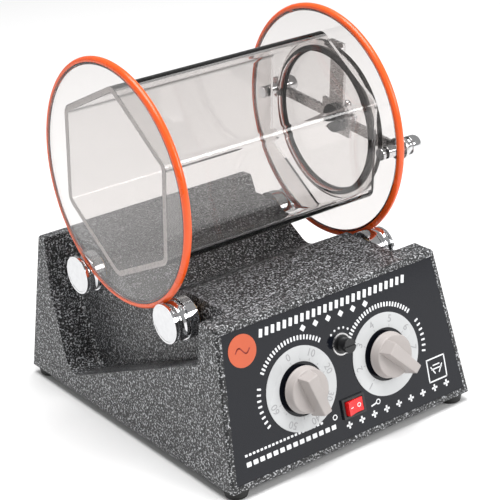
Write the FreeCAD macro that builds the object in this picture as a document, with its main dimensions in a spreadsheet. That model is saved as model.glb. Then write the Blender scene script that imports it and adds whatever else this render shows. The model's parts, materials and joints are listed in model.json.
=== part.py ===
import FreeCAD, Part
import os
import Sketcher
from FreeCAD import Placement, Rotation, Vector

# Rotary rock tumbler: a hexagonal clear barrel between two discs, rolling on two driven shafts in a
# cast housing with a sloping control panel. Millimetres, +Z up, +X at the lid end, -Y at the controls.
# The origin is on the supporting surface, under the middle of the whole machine.

doc = FreeCAD.newDocument("rock_tumbler")
size = doc.addObject("Spreadsheet::Sheet", "Size")

SIZES = [
    # housing
    ("base_length", 234, "housing, left to right at its foot"),
    ("base_depth", 288, "housing, front to back at its foot"),
    ("base_height", 118, "housing, foot to deck"),
    ("end_draft", 6, "lean of the two end faces, degrees"),
    ("front_rake", 12.3, "lean of the control panel, degrees"),
    ("rear_draft", 6.1, "lean of the back face, degrees"),
    ("wall", 3, "housing wall"),
    ("edge_round", 2.5, "rounding of the housing's outer edges"),
    ("drum_behind", 6.4, "drum axis behind the middle of the housing"),
    ("recess_inner", 80, "drum middle to the inner wall of an end recess, at the deck"),
    ("recess_tilt", 3.4, "lean of a recess's inner wall, degrees"),
    ("recess_front", 105, "drum axis to the front wall of a recess"),
    ("recess_rear", 115, "drum axis to the rear wall of a recess, at the deck"),
    ("recess_knee", 105, "drum axis to the bend in the rear wall of a recess"),
    ("knee_height", 72, "height of that bend"),
    ("recess_low_back", 75, "drum axis to the lowest corner of a recess"),
    ("recess_low", 9, "height of the lowest corner before it is rounded"),
    ("recess_step", 84, "height where the recess floor meets its front wall"),
    ("recess_round", 16, "rounding of the lowest corner of a recess"),
    ("recess_step_round", 5, "rounding at the front of the recess floor"),
    ("valley_front", 50, "drum axis to the front lip of the deck valley"),
    ("valley_rear", 46, "drum axis to the rear lip of the deck valley"),
    ("valley_low_back", 4, "drum axis to the bottom line of the valley"),
    ("valley_depth", 28, "depth of the valley"),
    ("valley_round", 14, "rounding of the bottom of the valley"),
    ("lip_round", 5, "rounding of the valley's lips"),
    ("corner_inset", 11, "housing's foot outline to the middle of a corner boss"),
    ("boss_radius", 7, "corner boss"),
    ("boss_height", 22, "top of a corner boss above the foot of the housing"),
    ("plate", 2, "base plate thickness"),
    # feet and small screws
    ("foot_height", 8, "rubber foot"),
    ("foot_radius", 10, "rubber foot at its top"),
    ("foot_taper", 1.5, "how much narrower the foot is at the floor"),
    ("screw_radius", 2, "screw shank"),
    ("screw_head_radius", 4, "screw head"),
    ("screw_head", 2.6, "screw head height"),
    ("screw_sink", 4, "depth of the head pocket in a foot"),
    # drum
    ("axis_height", 195, "drum axis above the foot of the housing"),
    ("ring_plane", 100, "drum middle to the middle plane of an end disc"),
    ("ring_radius", 94, "centre line of a drive ring"),
    ("ring_section", 3, "radius of a drive ring's section"),
    ("disc_thickness", 6, "end disc"),
    ("rim_inset", 1, "disc rim inside the ring's centre line"),
    ("flat_to_flat", 137, "barrel across its flats, outside"),
    ("tube_wall", 5, "barrel wall"),
    ("tube_round", 10, "outside rounding of the barrel's corners"),
    ("drum_turn", 6.3, "how far the drum is turned from corner-up, degrees"),
    ("opening_radius", 57, "round opening at the lid end"),
    # lid and clamp
    ("gasket_inner", 56, "lid gasket, inside radius"),
    ("gasket_outer", 61, "lid gasket, outside radius"),
    ("gasket", 2.5, "lid gasket thickness"),
    ("lid_radius", 65, "lid disc"),
    ("lid_thickness", 5, "lid disc"),
    ("stud_circle", 77, "drum axis to a clamp stud"),
    ("stud_radius", 3, "clamp stud"),
    ("stud_head_radius", 5, "round head of a stud inside the disc"),
    ("stud_head", 3, "height of that head"),
    ("yoke_gap", 4, "lid face to the clamp yoke"),
    ("yoke_thickness", 3, "clamp yoke plate"),
    ("yoke_arm", 9, "width of the two side arms"),
    ("yoke_finger", 17, "width of the upper arm"),
    ("yoke_reach", 66, "drum axis to the end of the upper arm"),
    ("yoke_eye_radius", 9, "round end of a side arm"),
    ("yoke_hub_long", 34, "hub plate, along the side arms"),
    ("yoke_hub_wide", 24, "hub plate, across the side arms"),
    ("nut_radius", 7.5, "thumb nut"),
    ("nut_length", 16, "thumb nut"),
    ("nut_round", 4, "rounding of its free end"),
    ("clamp_radius", 4, "clamp screw"),
    ("clamp_length", 15, "clamp screw"),
    ("clamp_knob_radius", 11, "clamp knob across its lobes"),
    ("clamp_knob", 8, "clamp knob thickness"),
    ("pad_radius", 11, "pressure pad"),
    ("pad_thickness", 3, "pressure pad"),
    # rollers and shafts
    ("roller_spread", 62, "drum axis to a shaft, front to back"),
    ("roller_radius", 15.5, "roller"),
    ("roller_groove", 1.5, "depth of the roller groove that the drive ring runs in"),
    ("groove_arc", 4, "radius of the groove's section"),
    ("roller_collar_radius", 16.3, "inner collar of a roller"),
    ("roller_collar", 8.4, "length of the collar"),
    ("roller_neck_radius", 14.3, "neck between collar and tread"),
    ("roller_neck", 1, "length of the neck"),
    ("roller_tread", 11.6, "length of the tread"),
    ("roller_outside", 6.4, "ring plane to the outer face of a roller"),
    ("roller_cap", 3, "closed outer end of a roller"),
    ("roller_chamfer", 0.8, "chamfer of the outer face"),
    ("shaft_radius", 5, "roller shaft"),
    ("bush_radius", 8, "shaft bearing"),
    ("bush_length", 12, "shaft bearing"),
    ("bush_flange_radius", 11, "flange of a bearing"),
    ("bush_flange", 2, "flange of a bearing"),
    ("clip_radius", 7.5, "shaft clip"),
    ("clip", 1.2, "shaft clip"),
    # drive
    ("pulley_radius", 11, "pulley"),
    ("pulley_width", 12, "pulley"),
    ("belt_radius", 2.5, "round belt"),
    ("belt_line", 8.6, "pulley centre to the belt's centre line"),
    ("belt_plane", 56, "drum middle to the belt's plane"),
    ("motor_back", 10, "drum axis to the motor axis"),
    ("motor_height", 38, "motor axis above the foot of the housing"),
    ("motor_radius", 27, "motor can"),
    ("motor_length", 76, "motor can"),
    ("gearbox_width", 56, "gearbox, square"),
    ("gearbox_length", 24, "gearbox"),
    ("output_radius", 4, "motor output shaft"),
    ("bracket", 3, "motor bracket plate"),
    ("bracket_plane", 38, "drum middle to the gearbox face"),
    ("bracket_foot", 27, "foot of the motor bracket"),
    ("bracket_side", 34, "half width of the motor bracket"),
    # control panel
    ("panel_border", 4.6, "housing frame left around the panel"),
    ("panel_pocket", 1.2, "depth of the pocket for the panel"),
    ("panel", 1, "panel thickness"),
    ("dial_side", 41, "middle to a dial, sideways"),
    ("dial_up", 56, "foot of the panel face to a dial"),
    ("dial_outer", 32.3, "dial ring, outside radius"),
    ("dial_inner", 20.5, "dial ring, inside radius"),
    ("dial", 0.8, "dial ring thickness"),
    ("knob_skirt", 18, "knob radius at the panel"),
    ("knob_top", 17.3, "knob radius at the top of its round body"),
    ("knob_body", 8.5, "height of the knob's round body"),
    ("knob_grip", 10, "height of the grip above the body"),
    ("knob_stand", 1.9, "gap between a knob and the nut behind it"),
    ("grip_back", 13, "width of the grip at its blunt end"),
    ("grip_nose", 7, "width of the grip near its nose"),
    ("grip_reach", 21, "knob centre to the grip's nose"),
    ("timer_angle", -75, "timer pointer from the panel's left-to-right line, degrees"),
    ("speed_angle", -48, "speed pointer from the same line, degrees"),
    ("spindle_radius", 3, "knob spindle"),
    ("bush_thread_radius", 5, "threaded bush of a control"),
    ("control_nut_radius", 7.5, "nut on that bush"),
    ("control_nut", 1.8, "nut on that bush"),
    ("timer_radius", 24, "timer body"),
    ("timer_depth", 25, "timer body"),
    ("speed_radius", 12, "speed control body"),
    ("speed_depth", 12, "speed control body"),
    ("board_wide", 58, "control board"),
    ("board_tall", 44, "control board"),
    ("board", 1.6, "control board"),
    ("switch_side", 2, "middle to the switch, sideways"),
    ("switch_up", 27.5, "foot of the panel face to the switch"),
    ("bezel_long", 21.5, "switch bezel"),
    ("bezel_tall", 15.5, "switch bezel"),
    ("bezel", 2, "switch bezel"),
    ("switch_long", 19, "switch body"),
    ("switch_tall", 13, "switch body"),
    ("switch_depth", 17, "switch body"),
    ("rocker_long", 15.4, "rocker"),
    ("rocker_tall", 10.8, "rocker"),
    ("rocker_rise", 3.2, "rocker ends above its pivot"),
    ("rocker_dip", 1.8, "rocker middle above its pivot"),
    ("rocker_pivot", 0.6, "rocker pivot above the panel"),
    ("rocker_pin", 0.9, "pins that the rocker tilts on"),
    ("rocker_throw", 9, "rocker tilt each way, degrees"),
    ("fuse_side", 2, "middle to the fuse holder, sideways"),
    ("fuse_up", 76.7, "foot of the panel face to the fuse holder"),
    ("fuse_flange", 7.4, "flange of the fuse holder"),
    ("fuse_body", 6, "fuse holder"),
    ("fuse_bore", 3.4, "bore of the fuse holder"),
    ("fuse_depth", 34, "fuse holder"),
    ("fuse_cap_radius", 5.5, "fuse cap"),
    ("fuse_cap", 9.6, "fuse cap above the flange"),
    ("fuse_stem", 6, "stem of the fuse cap inside the holder"),
    ("fuse_radius", 2.5, "glass fuse"),
    ("fuse_length", 20, "glass fuse"),
    ("sticker_side", 85.2, "middle to the sticker, sideways"),
    ("sticker_up", 100, "foot of the panel face to the sticker"),
    ("sticker_radius", 12.3, "sticker"),
    ("sticker", 0.3, "sticker"),
    # back
    ("inlet_side", 58, "middle to the mains inlet, sideways"),
    ("inlet_up", 44, "foot of the back face to the mains inlet"),
    ("inlet_long", 48, "inlet flange"),
    ("inlet_tall", 27, "inlet flange"),
    ("inlet_flange", 2.5, "inlet flange"),
    ("inlet_body_long", 28, "inlet body"),
    ("inlet_body_tall", 20.5, "inlet body"),
    ("inlet_depth", 20, "inlet body"),
    ("inlet_cavity_long", 24, "inlet socket"),
    ("inlet_cavity_tall", 16.5, "inlet socket"),
    ("inlet_screws", 40, "distance between the inlet's screws"),
    ("pin_long", 4, "inlet contact pin"),
    ("pin_thick", 2, "inlet contact pin"),
    ("pin_spread", 7, "inlet contact pins, apart"),
    ("vent_side", 50, "middle to the middle of the vents"),
    ("vent_up", 62, "foot of the back face to the middle of the vents"),
    ("vent_tall", 34, "vent slot"),
    ("vent_wide", 3.5, "vent slot"),
    ("vent_step", 8, "distance between vent slots"),
    ("vent_count", 7, "number of vent slots"),
    # clearances
    ("running_fit", 0.05, "radial clearance of a shaft in its bearing"),
    ("roll_gap", 0.3, "gap between a drive ring and a roller, and between belt and pulley"),
    ("insert_gap", 0.15, "clearance of a piece let into a hole or pocket"),
    ("end_gap", 0.5, "end clearance between a turning piece and its neighbour"),
    ("overcut", 10, "how far a cutting shape runs past what it cuts"),
]

for row, (alias, value, note) in enumerate(SIZES, 1):
    size.set(f"A{row}", alias)
    size.set(f"B{row}", str(value))
    size.setAlias(f"B{row}", alias)
    size.set(f"C{row}", note)
doc.recompute()


def number(expression):
    """The value of an expression in the sheet's names."""
    return float(size.evalExpression(expression))


# Lines that several pieces share, written once as expressions in the sheet's names.
FRONT = "(Size.base_depth / 2 + Size.drum_behind)"
REAR = "(Size.base_depth / 2 - Size.drum_behind)"
HALF = "Size.base_length / 2"
RAKE = "Size.front_rake"
LEAN = "Size.rear_draft"
DISC_IN = "(Size.ring_plane - Size.disc_thickness / 2)"
DISC_OUT = "(Size.ring_plane + Size.disc_thickness / 2)"
LID_IN = f"({DISC_OUT} + Size.gasket)"
LID_OUT = f"({LID_IN} + Size.lid_thickness)"
CORNER_SIDE = f"({HALF} - Size.corner_inset)"
CORNER_FRONT = f"(Size.corner_inset - {FRONT})"
CORNER_REAR = f"({REAR} - Size.corner_inset)"
YOKE_IN = f"({LID_OUT} + Size.yoke_gap)"
YOKE_OUT = f"({YOKE_IN} + Size.yoke_thickness)"
NUT_OUT = f"({YOKE_OUT} + Size.nut_length)"
RING_OUTER = "(Size.ring_radius + Size.ring_section)"
GROOVE_FLOOR = "(Size.roller_radius - Size.roller_groove)"
ROLLER_DROP = f"sqrt(({RING_OUTER} + {GROOVE_FLOOR} + Size.roll_gap)^2 - Size.roller_spread^2)"
SHAFT_HEIGHT = f"(Size.axis_height - {ROLLER_DROP})"
ROLLER_OUT = "(Size.ring_plane + Size.roller_outside)"
ROLLER_LENGTH = "(Size.roller_collar + Size.roller_neck + Size.roller_tread)"
ROLLER_IN = f"({ROLLER_OUT} - {ROLLER_LENGTH})"
FLANGE_LOW = f"(Size.base_height - {SHAFT_HEIGHT} + Size.bush_flange_radius)"
FLANGE_IN = f"(Size.recess_inner + {FLANGE_LOW} * tan(Size.recess_tilt))"
BUSH_IN = f"({FLANGE_IN} - Size.bush_length)"
PANEL_FACE = "(Size.panel - Size.panel_pocket)"
KNOB_FOOT = f"({PANEL_FACE} + Size.control_nut + Size.knob_stand)"
KNOB_TOP = f"({KNOB_FOOT} + Size.knob_body + Size.knob_grip)"
NOSE_UP = "(Size.dial_up + Size.grip_reach * sin(Size.timer_angle))"
KNOB_FRONT = f"({FRONT} - {NOSE_UP} * sin({RAKE}) + {KNOB_TOP} * cos({RAKE}))"
STUD_TURN = "Size.drum_turn"
# The origin is under the middle of the machine: the drum's middle and axis lie this far from it.
MID_X = f"({HALF} - {NUT_OUT}) / 2"
MID_Y = f"({KNOB_FRONT} - {REAR}) / 2"

NODES = {}


def bind(thing, **sizes):
    for name, expression in sizes.items():
        thing.setExpression(name, expression)
    return thing


def move(thing, x="0", y="0", z="0"):
    """Bind a helper shape's own position."""
    thing.setExpression(".Placement.Base.x", x)
    thing.setExpression(".Placement.Base.y", y)
    thing.setExpression(".Placement.Base.z", z)
    return thing


def turn(thing, axis, angle):
    """Bind a rotation about a fixed axis."""
    thing.Placement = Placement(thing.Placement.Base, Rotation(axis, 10))
    thing.setExpression(".Placement.Rotation.Angle", angle)
    return thing


def place(thing, x="0", y="0", z="0"):
    """Position from the drum's middle, the drum's axis line and the foot of the housing."""
    return move(thing, f"{MID_X} + {x}", f"{MID_Y} + {y}", f"Size.foot_height + {z}")


def place_axial(thing, x="0", y="0", z="0"):
    """A piece built round its own Z axis, laid along +X."""
    turn(thing, Vector(0, 1, 0), "90")
    return place(thing, x, y, z)


def place_drum(thing, x="0"):
    return place_axial(thing, x, "0", "Size.axis_height")


def place_panel(thing, side, up, out="0"):
    """A piece built on the control panel: X along it, Y up its slope, Z out of it."""
    turn(thing, Vector(1, 0, 0), f"90 - {RAKE}")
    y = f"-{FRONT} + ({up}) * sin({RAKE}) - ({out}) * cos({RAKE})"
    z = f"({up}) * cos({RAKE}) + ({out}) * sin({RAKE})"
    return place(thing, side, y, z)


def place_back(thing, side, up, out="0"):
    """A piece built on the back face: X along it, Y down its slope, Z out of it."""
    turn(thing, Vector(1, 0, 0), f"{LEAN} - 90")
    y = f"{REAR} - ({up}) * sin({LEAN}) + ({out}) * cos({LEAN})"
    z = f"({up}) * cos({LEAN}) + ({out}) * sin({LEAN})"
    return place(thing, side, y, z)


def cylinder(name, radius, height, x="0", y="0", z="0"):
    thing = doc.addObject("Part::Cylinder", name)
    bind(thing, Radius=radius, Height=height)
    return move(thing, x, y, z)


def cone(name, low, high, height, x="0", y="0", z="0"):
    thing = doc.addObject("Part::Cone", name)
    bind(thing, Radius1=low, Radius2=high, Height=height)
    return move(thing, x, y, z)


def block(name, long, wide, tall, x="0", y="0", z="0"):
    """A box centred on X and Y, standing on Z."""
    thing = doc.addObject("Part::Box", name)
    bind(thing, Length=long, Width=wide, Height=tall)
    return move(thing, f"{x} - ({long}) / 2", f"{y} - ({wide}) / 2", z)


def torus(name, radius, section, z="0"):
    thing = doc.addObject("Part::Torus", name)
    bind(thing, Radius1=radius, Radius2=section)
    return move(thing, z=z)


def fuse(name, *things):
    joined = doc.addObject("Part::MultiFuse", name)
    joined.Shapes = list(things)
    joined.Refine = True
    return joined


def cut(name, base, *tools):
    tool = tools[0] if len(tools) == 1 else fuse(name + "_tools", *tools)
    result = doc.addObject("Part::Cut", name)
    result.Base = base
    result.Tool = tool
    result.Refine = True
    return result


def common(name, *things):
    result = doc.addObject("Part::MultiCommon", name)
    result.Shapes = list(things)
    return result


def group(name, things):
    """Identical loose pieces kept as separate solids in one node."""
    result = doc.addObject("Part::Compound", name)
    result.Links = list(things)
    return result


def carried(name, thing):
    """A holder that gives a finished piece a second placement."""
    return group(name, [thing])


def rounded(name, base, picks):
    """Round the edges for which a pick's test on the middle of the edge holds."""
    doc.recompute()
    result = doc.addObject("Part::Fillet", name)
    result.Base = base
    edges = []
    for index, edge in enumerate(base.Shape.Edges, 1):
        middle = edge.valueAt((edge.FirstParameter + edge.LastParameter) / 2)
        for test, radius in picks:
            if test(edge, middle):
                edges.append((index, radius, radius))
                break
    if not edges:
        raise ValueError(f"{name}: no edge to round")
    result.Edges = edges
    return result


def sketch_polygon(body, name, role, points, offset=None):
    """A closed outline on one of the body's origin planes, each corner bound to the sheet."""
    sketch = body.newObject("Sketcher::SketchObject", name)
    plane = [f for f in body.Origin.OriginFeatures if f.Role == role][0]
    sketch.AttachmentSupport = [(plane, "")]
    sketch.MapMode = "FlatFace"
    if offset:
        sketch.setExpression(".AttachmentOffset.Base.z", offset)
    corners = [Vector(number(u), number(v), 0) for u, v in points]
    last = len(corners)
    for i in range(last):
        sketch.addGeometry(Part.LineSegment(corners[i], corners[(i + 1) % last]), False)
    for i in range(last):
        sketch.addConstraint(Sketcher.Constraint("Coincident", i, 2, (i + 1) % last, 1))
    for i, (u, v) in enumerate(points):
        for kind, expression, value in (("DistanceX", u, corners[i].x), ("DistanceY", v, corners[i].y)):
            index = sketch.addConstraint(Sketcher.Constraint(kind, -1, 1, i, 1, value))
            sketch.setExpression(f"Constraints[{index}]", expression)
    return sketch


def padded(name, role, points, length, offset=None, midplane=False):
    """A body padded from one outline."""
    body = doc.addObject("PartDesign::Body", name)
    sketch = sketch_polygon(body, name + "_outline", role, points, offset)
    pad = body.newObject("PartDesign::Pad", name + "_pad")
    pad.Profile = sketch
    pad.setExpression("Length", length)
    pad.Midplane = midplane
    doc.recompute()
    return body


def turned(name, points):
    """A body turned about its own Z axis: each point is a radius and a height."""
    body = doc.addObject("PartDesign::Body", name)
    sketch = sketch_polygon(body, name + "_outline", "XZ_Plane", points)
    spin = body.newObject("PartDesign::Revolution", name + "_turning")
    spin.Profile = sketch
    spin.ReferenceAxis = (sketch, ["V_Axis"])
    spin.Angle = 360
    doc.recompute()
    return body


def node(label, thing):
    thing.Label = label
    NODES[label] = thing
    return thing


def along(axis):
    """A test for edges that run along one axis."""
    def test(edge, middle):
        ends = edge.Vertexes
        if len(ends) < 2:
            return False
        run = ends[1].Point.sub(ends[0].Point)
        return abs(abs(run.normalize().dot(axis)) - 1) < 1e-6
    return test


X_AXIS = Vector(1, 0, 0)
Y_AXIS = Vector(0, 1, 0)
Z_AXIS = Vector(0, 0, 1)


# ---------------------------------------------------------------- housing
def frustum(name, inset, below="0"):
    """The housing's drafted block, inset by a wall and open downwards by some overcut."""
    inset = f"({inset})"
    top = f"(Size.base_height - {inset})"
    side = f"{HALF} - {inset} / cos(Size.end_draft)"
    front = f"{FRONT} - {inset} / cos({RAKE})"
    rear = f"{REAR} - {inset} / cos({LEAN})"
    block_ = doc.addObject("Part::Wedge", name)
    bind(
        block_,
        Ymin=f"-{below}",
        Ymax=top,
        Xmin=f"-({side} + {below} * tan(Size.end_draft))",
        Xmax=f"{side} + {below} * tan(Size.end_draft)",
        X2min=f"-({side} - {top} * tan(Size.end_draft))",
        X2max=f"{side} - {top} * tan(Size.end_draft)",
        Zmin=f"-({rear} + {below} * tan({LEAN}))",
        Zmax=f"{front} + {below} * tan({RAKE})",
        Z2min=f"-({rear} - {top} * tan({LEAN}))",
        Z2max=f"{front} - {top} * tan({RAKE})",
    )
    return turn(block_, X_AXIS, "90")


def grown(name, source):
    """A cutter made larger by the wall, which shapes the inside of the housing."""
    offset = doc.addObject("Part::Offset", name)
    offset.Source = source
    offset.Join = 2
    return bind(offset, Value="Size.wall")


def recess_pair(name, extra):
    """The two end recesses: sloping-floored pockets whose inner walls lean out as they go down."""
    above = "Size.base_height + Size.overcut"
    lean = "(Size.recess_rear - Size.recess_knee) / (Size.base_height - Size.knee_height)"
    outline = [
        ("-Size.recess_front", above),
        ("-Size.recess_front", "Size.recess_step"),
        ("Size.recess_low_back", "Size.recess_low"),
        ("Size.recess_knee", "Size.knee_height"),
        (f"Size.recess_rear + Size.overcut * {lean}", above),
    ]
    sharp = padded(name + "_sharp", "YZ_Plane", outline, f"{HALF} + Size.overcut - Size.recess_inner")
    if extra:
        sharp = grown(name + "_grown", sharp)
    doc.recompute()
    runs_x = along(X_AXIS)
    inner = min(vertex.X for vertex in sharp.Shape.Vertexes)
    lowest = min(vertex.Z for vertex in sharp.Shape.Vertexes)
    front = min(vertex.Y for vertex in sharp.Shape.Vertexes)
    step = min(v.Z for v in sharp.Shape.Vertexes if abs(v.Y - front) < 1e-4)

    def low_corner(edge, middle):
        return runs_x(edge, middle) and abs(middle.z - lowest) < 1e-4

    def step_corner(edge, middle):
        return runs_x(edge, middle) and abs(middle.y - front) < 1e-4 and abs(middle.z - step) < 1e-4

    def inner_wall(edge, middle):
        return abs(middle.x - inner) < 1e-4 and middle.z < number("Size.base_height")

    low_round = number("Size.recess_round") + extra
    step_round = number("Size.recess_step_round") + extra
    soft = rounded(name + "_soft", sharp, [(low_corner, low_round), (step_corner, step_round)])
    softer = rounded(name + "_softer", soft, [(inner_wall, step_round)])
    right = carried(name + "_right", softer)
    turn(right, Y_AXIS, "-Size.recess_tilt")
    move(
        right,
        "Size.recess_inner + Size.base_height * sin(Size.recess_tilt)",
        "0",
        "Size.base_height - Size.base_height * cos(Size.recess_tilt)",
    )
    left = doc.addObject("Part::Mirroring", name + "_left")
    left.Source = right
    left.Normal = X_AXIS
    return [left, right]


def housing():
    outer = frustum("outer_block", "0")
    doc.recompute()

    def outer_edge(edge, middle):
        return middle.z > 1

    soft = rounded("outer_soft", outer, [(outer_edge, number("Size.edge_round"))])
    recesses = recess_pair("recess", 0)
    recess_walls = recess_pair("recess_wall", number("Size.wall"))
    above = "Size.base_height + Size.overcut"
    front_run = "(Size.valley_front + Size.valley_low_back) / Size.valley_depth * Size.overcut"
    rear_run = "(Size.valley_rear - Size.valley_low_back) / Size.valley_depth * Size.overcut"
    valley = padded(
        "valley",
        "YZ_Plane",
        [
            (f"-Size.valley_front - {front_run}", above),
            ("Size.valley_low_back", "Size.base_height - Size.valley_depth"),
            (f"Size.valley_rear + {rear_run}", above),
        ],
        "Size.base_length + 2 * Size.overcut",
        midplane=True,
    )
    runs_x = along(X_AXIS)

    def bottom_line(edge, middle):
        return runs_x(edge, middle) and middle.z < number("Size.base_height")

    trough = rounded("valley_soft", valley, [(bottom_line, number("Size.valley_round"))])
    wall_round = number("Size.valley_round") + number("Size.wall")
    trough_wall = rounded("valley_wall", grown("valley_grown", valley), [(bottom_line, wall_round)])
    inner = frustum("inner_block", "Size.wall", "Size.overcut")
    doc.recompute()
    cavity = cut("cavity", inner, *recess_walls, trough_wall)
    shell = cut("shell", soft, *recesses, trough, cavity)

    bosses = []
    for side in ("-1", "1"):
        for name, back in (("front", CORNER_FRONT), ("rear", CORNER_REAR)):
            boss = cylinder(
                f"boss_{name}", "Size.boss_radius", "Size.boss_height - Size.plate",
                f"{side} * {CORNER_SIDE}", back, "Size.plate",
            )
            bosses.append(boss)
    ribbed = fuse("shell_with_bosses", shell, common("bosses", fuse("boss_set", *bosses), outer))

    holes = []
    for side in ("-1", "1"):
        for back in (CORNER_FRONT, CORNER_REAR):
            holes.append(
                cylinder(
                    "screw_hole", "Size.screw_radius", "Size.boss_height", f"{side} * {CORNER_SIDE}", back
                )
            )
        for back in ("-Size.roller_spread", "Size.roller_spread"):
            hole = cylinder("bush_hole", "Size.bush_radius + Size.insert_gap", "Size.bush_length + Size.wall")
            turn(hole, Y_AXIS, "90")
            start = f"{side} * {FLANGE_IN} - (1 + {side}) / 2 * (Size.bush_length + Size.wall)"
            holes.append(move(hole, start, back, SHAFT_HEIGHT))
    tidy = cut("drilled_shell", ribbed, *holes)
    return place(tidy)


def panel_outline(gap):
    """The panel's four corners, inside the housing's frame."""
    slope = f"(Size.base_height / cos({RAKE}))"
    shrink = f"cos({RAKE}) * tan(Size.end_draft)"
    low = f"(Size.panel_border + {gap})"
    high = f"({slope} - Size.panel_border - {gap})"
    low_half = f"({HALF} - {low} * {shrink} - Size.panel_border - {gap})"
    high_half = f"({HALF} - {high} * {shrink} - Size.panel_border - {gap})"
    return [(f"-{low_half}", low), (low_half, low), (high_half, high), (f"-{high_half}", high)]


def control_holes(name, depth):
    """The holes for the spindles, the switch and the fuse holder, in the panel's own frame."""
    down = f"-({depth})"
    through = f"{depth} + Size.overcut"
    return [
        cylinder(
            name + "_timer", "Size.bush_thread_radius + Size.insert_gap", through, "-Size.dial_side",
            "Size.dial_up", down
        ),
        cylinder(
            name + "_speed", "Size.bush_thread_radius + Size.insert_gap", through, "Size.dial_side",
            "Size.dial_up", down
        ),
        cylinder(
            name + "_fuse", "Size.fuse_body + Size.insert_gap", through, "Size.fuse_side", "Size.fuse_up",
            down
        ),
        block(
            name + "_switch",
            "Size.switch_long + 2 * Size.insert_gap",
            "Size.switch_tall + 2 * Size.insert_gap",
            through, "Size.switch_side", "Size.switch_up", down,
        ),
    ]


raw_housing = housing()

pocket = padded("panel_pocket", "XY_Plane", panel_outline("0"), "Size.panel_pocket + Size.overcut")
move(pocket, z="-Size.panel_pocket")
panel_cuts = fuse("panel_cuts", pocket, *control_holes("wall_hole", "2 * Size.wall"))
place_panel(panel_cuts, "0", "0")

inlet_hole = block(
    "inlet_hole", "Size.inlet_body_long + 2 * Size.insert_gap", "Size.inlet_body_tall + 2 * Size.insert_gap",
    "4 * Size.wall", z="-2 * Size.wall",
)
inlet_screw_holes = [
    cylinder(
        "inlet_screw_hole", "Size.screw_radius", "4 * Size.wall", f"{s} * Size.inlet_screws / 2",
        z="-2 * Size.wall"
    )
    for s in ("-1", "1")
]
inlet_cuts = fuse("inlet_cuts", inlet_hole, *inlet_screw_holes)
place_back(inlet_cuts, "-Size.inlet_side", "Size.inlet_up")

vents = []
for i in range(int(number("Size.vent_count"))):
    vents.append(
        block(
            "vent", "Size.vent_wide", "Size.vent_tall", "4 * Size.wall",
            f"({i} - (Size.vent_count - 1) / 2) * Size.vent_step", z="-2 * Size.wall",
        )
    )
vent_cuts = fuse("vent_cuts", *vents)
place_back(vent_cuts, "Size.vent_side", "Size.vent_up")
node("housing_shell", cut("housing", raw_housing, panel_cuts, inlet_cuts, vent_cuts))


# ---------------------------------------------------------------- underside
def underside():
    inner = frustum("plate_block", "Size.wall + Size.insert_gap", "Size.overcut")
    slab = block("plate_slab", "2 * Size.base_length", "2 * Size.base_depth", "Size.plate")
    holes = []
    for side in ("-1", "1"):
        for back in (CORNER_FRONT, CORNER_REAR):
            holes.append(
                cylinder(
                    "plate_hole", "Size.screw_radius + Size.insert_gap", "Size.plate",
                    f"{side} * {CORNER_SIDE}", back
                )
            )
    node("base_plate", place(cut("plate", common("plate_blank", inner, slab), *holes)))

    feet = []
    screws = []
    shank = "Size.boss_height + Size.foot_height - Size.screw_sink - 2 * Size.plate"
    for side in ("-1", "1"):
        for back in (CORNER_FRONT, CORNER_REAR):
            spot = (f"{side} * {CORNER_SIDE}", back)
            body = cone(
                "foot_body", "Size.foot_radius - Size.foot_taper", "Size.foot_radius", "Size.foot_height",
                *spot, "-Size.foot_height"
            )
            sink = cylinder(
                "foot_sink", "Size.screw_head_radius + Size.insert_gap", "Size.screw_sink", *spot,
                "-Size.foot_height"
            )
            bore = cylinder(
                "foot_bore", "Size.screw_radius + Size.insert_gap", "Size.foot_height", *spot,
                "-Size.foot_height"
            )
            feet.append(cut("foot", body, sink, bore))
            head = cylinder(
                "foot_screw_head", "Size.screw_head_radius", "Size.screw_head", *spot,
                "Size.screw_sink - Size.foot_height - Size.screw_head"
            )
            stem = cylinder(
                "foot_screw_stem", "Size.screw_radius", shank, *spot, "Size.screw_sink - Size.foot_height"
            )
            screws.append(fuse("foot_screw", head, stem))
    node("rubber_feet", place(group("feet", feet)))
    node("foot_screws", place(group("foot_screw_set", screws)))


underside()


# ---------------------------------------------------------------- control panel
def control_panel():
    sheet_body = padded("panel_sheet", "XY_Plane", panel_outline("Size.insert_gap"), "Size.panel")
    move(sheet_body, z="-Size.panel_pocket")
    node(
        "front_fascia",
        place_panel(cut("fascia", sheet_body, *control_holes("panel_hole", "2 * Size.panel")), "0", "0")
    )

    for label, side in (("timer_dial", "-Size.dial_side"), ("speed_dial", "Size.dial_side")):
        ring = cut(
            label + "_ring", cylinder(label + "_disc", "Size.dial_outer", "Size.dial"),
            cylinder(label + "_hole", "Size.dial_inner", "Size.dial")
        )
        node(label, place_panel(ring, side, "Size.dial_up", PANEL_FACE))

    disc = cylinder("sticker_disc", "Size.sticker_radius", "Size.sticker")
    node("supply_sticker", place_panel(disc, "-Size.sticker_side", "Size.sticker_up", PANEL_FACE))


def control(label, side, radius, depth):
    """A control behind the panel with its threaded bush, and the nut that holds it."""
    bush_top = f"({PANEL_FACE} + Size.control_nut)"
    can = cylinder(label + "_can", radius, depth, z=f"-Size.wall - Size.insert_gap - {depth}")
    bush = cylinder(
        label + "_bush", "Size.bush_thread_radius", f"Size.wall + Size.insert_gap + {bush_top}",
        z="-Size.wall - Size.insert_gap"
    )
    bore = cylinder(
        label + "_bore", "Size.spindle_radius + Size.running_fit", f"Size.overcut + {depth}",
        z="-Size.wall - Size.overcut"
    )
    node(
        label,
        place_panel(cut(label + "_body", fuse(label + "_solid", can, bush), bore), side, "Size.dial_up")
    )
    nut = cut(
        label + "_nut_blank",
        cylinder(label + "_nut_disc", "Size.control_nut_radius", "Size.control_nut"),
        cylinder(label + "_nut_hole", "Size.bush_thread_radius", "Size.control_nut"),
    )
    return move(nut, side, "Size.dial_up", PANEL_FACE)


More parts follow.
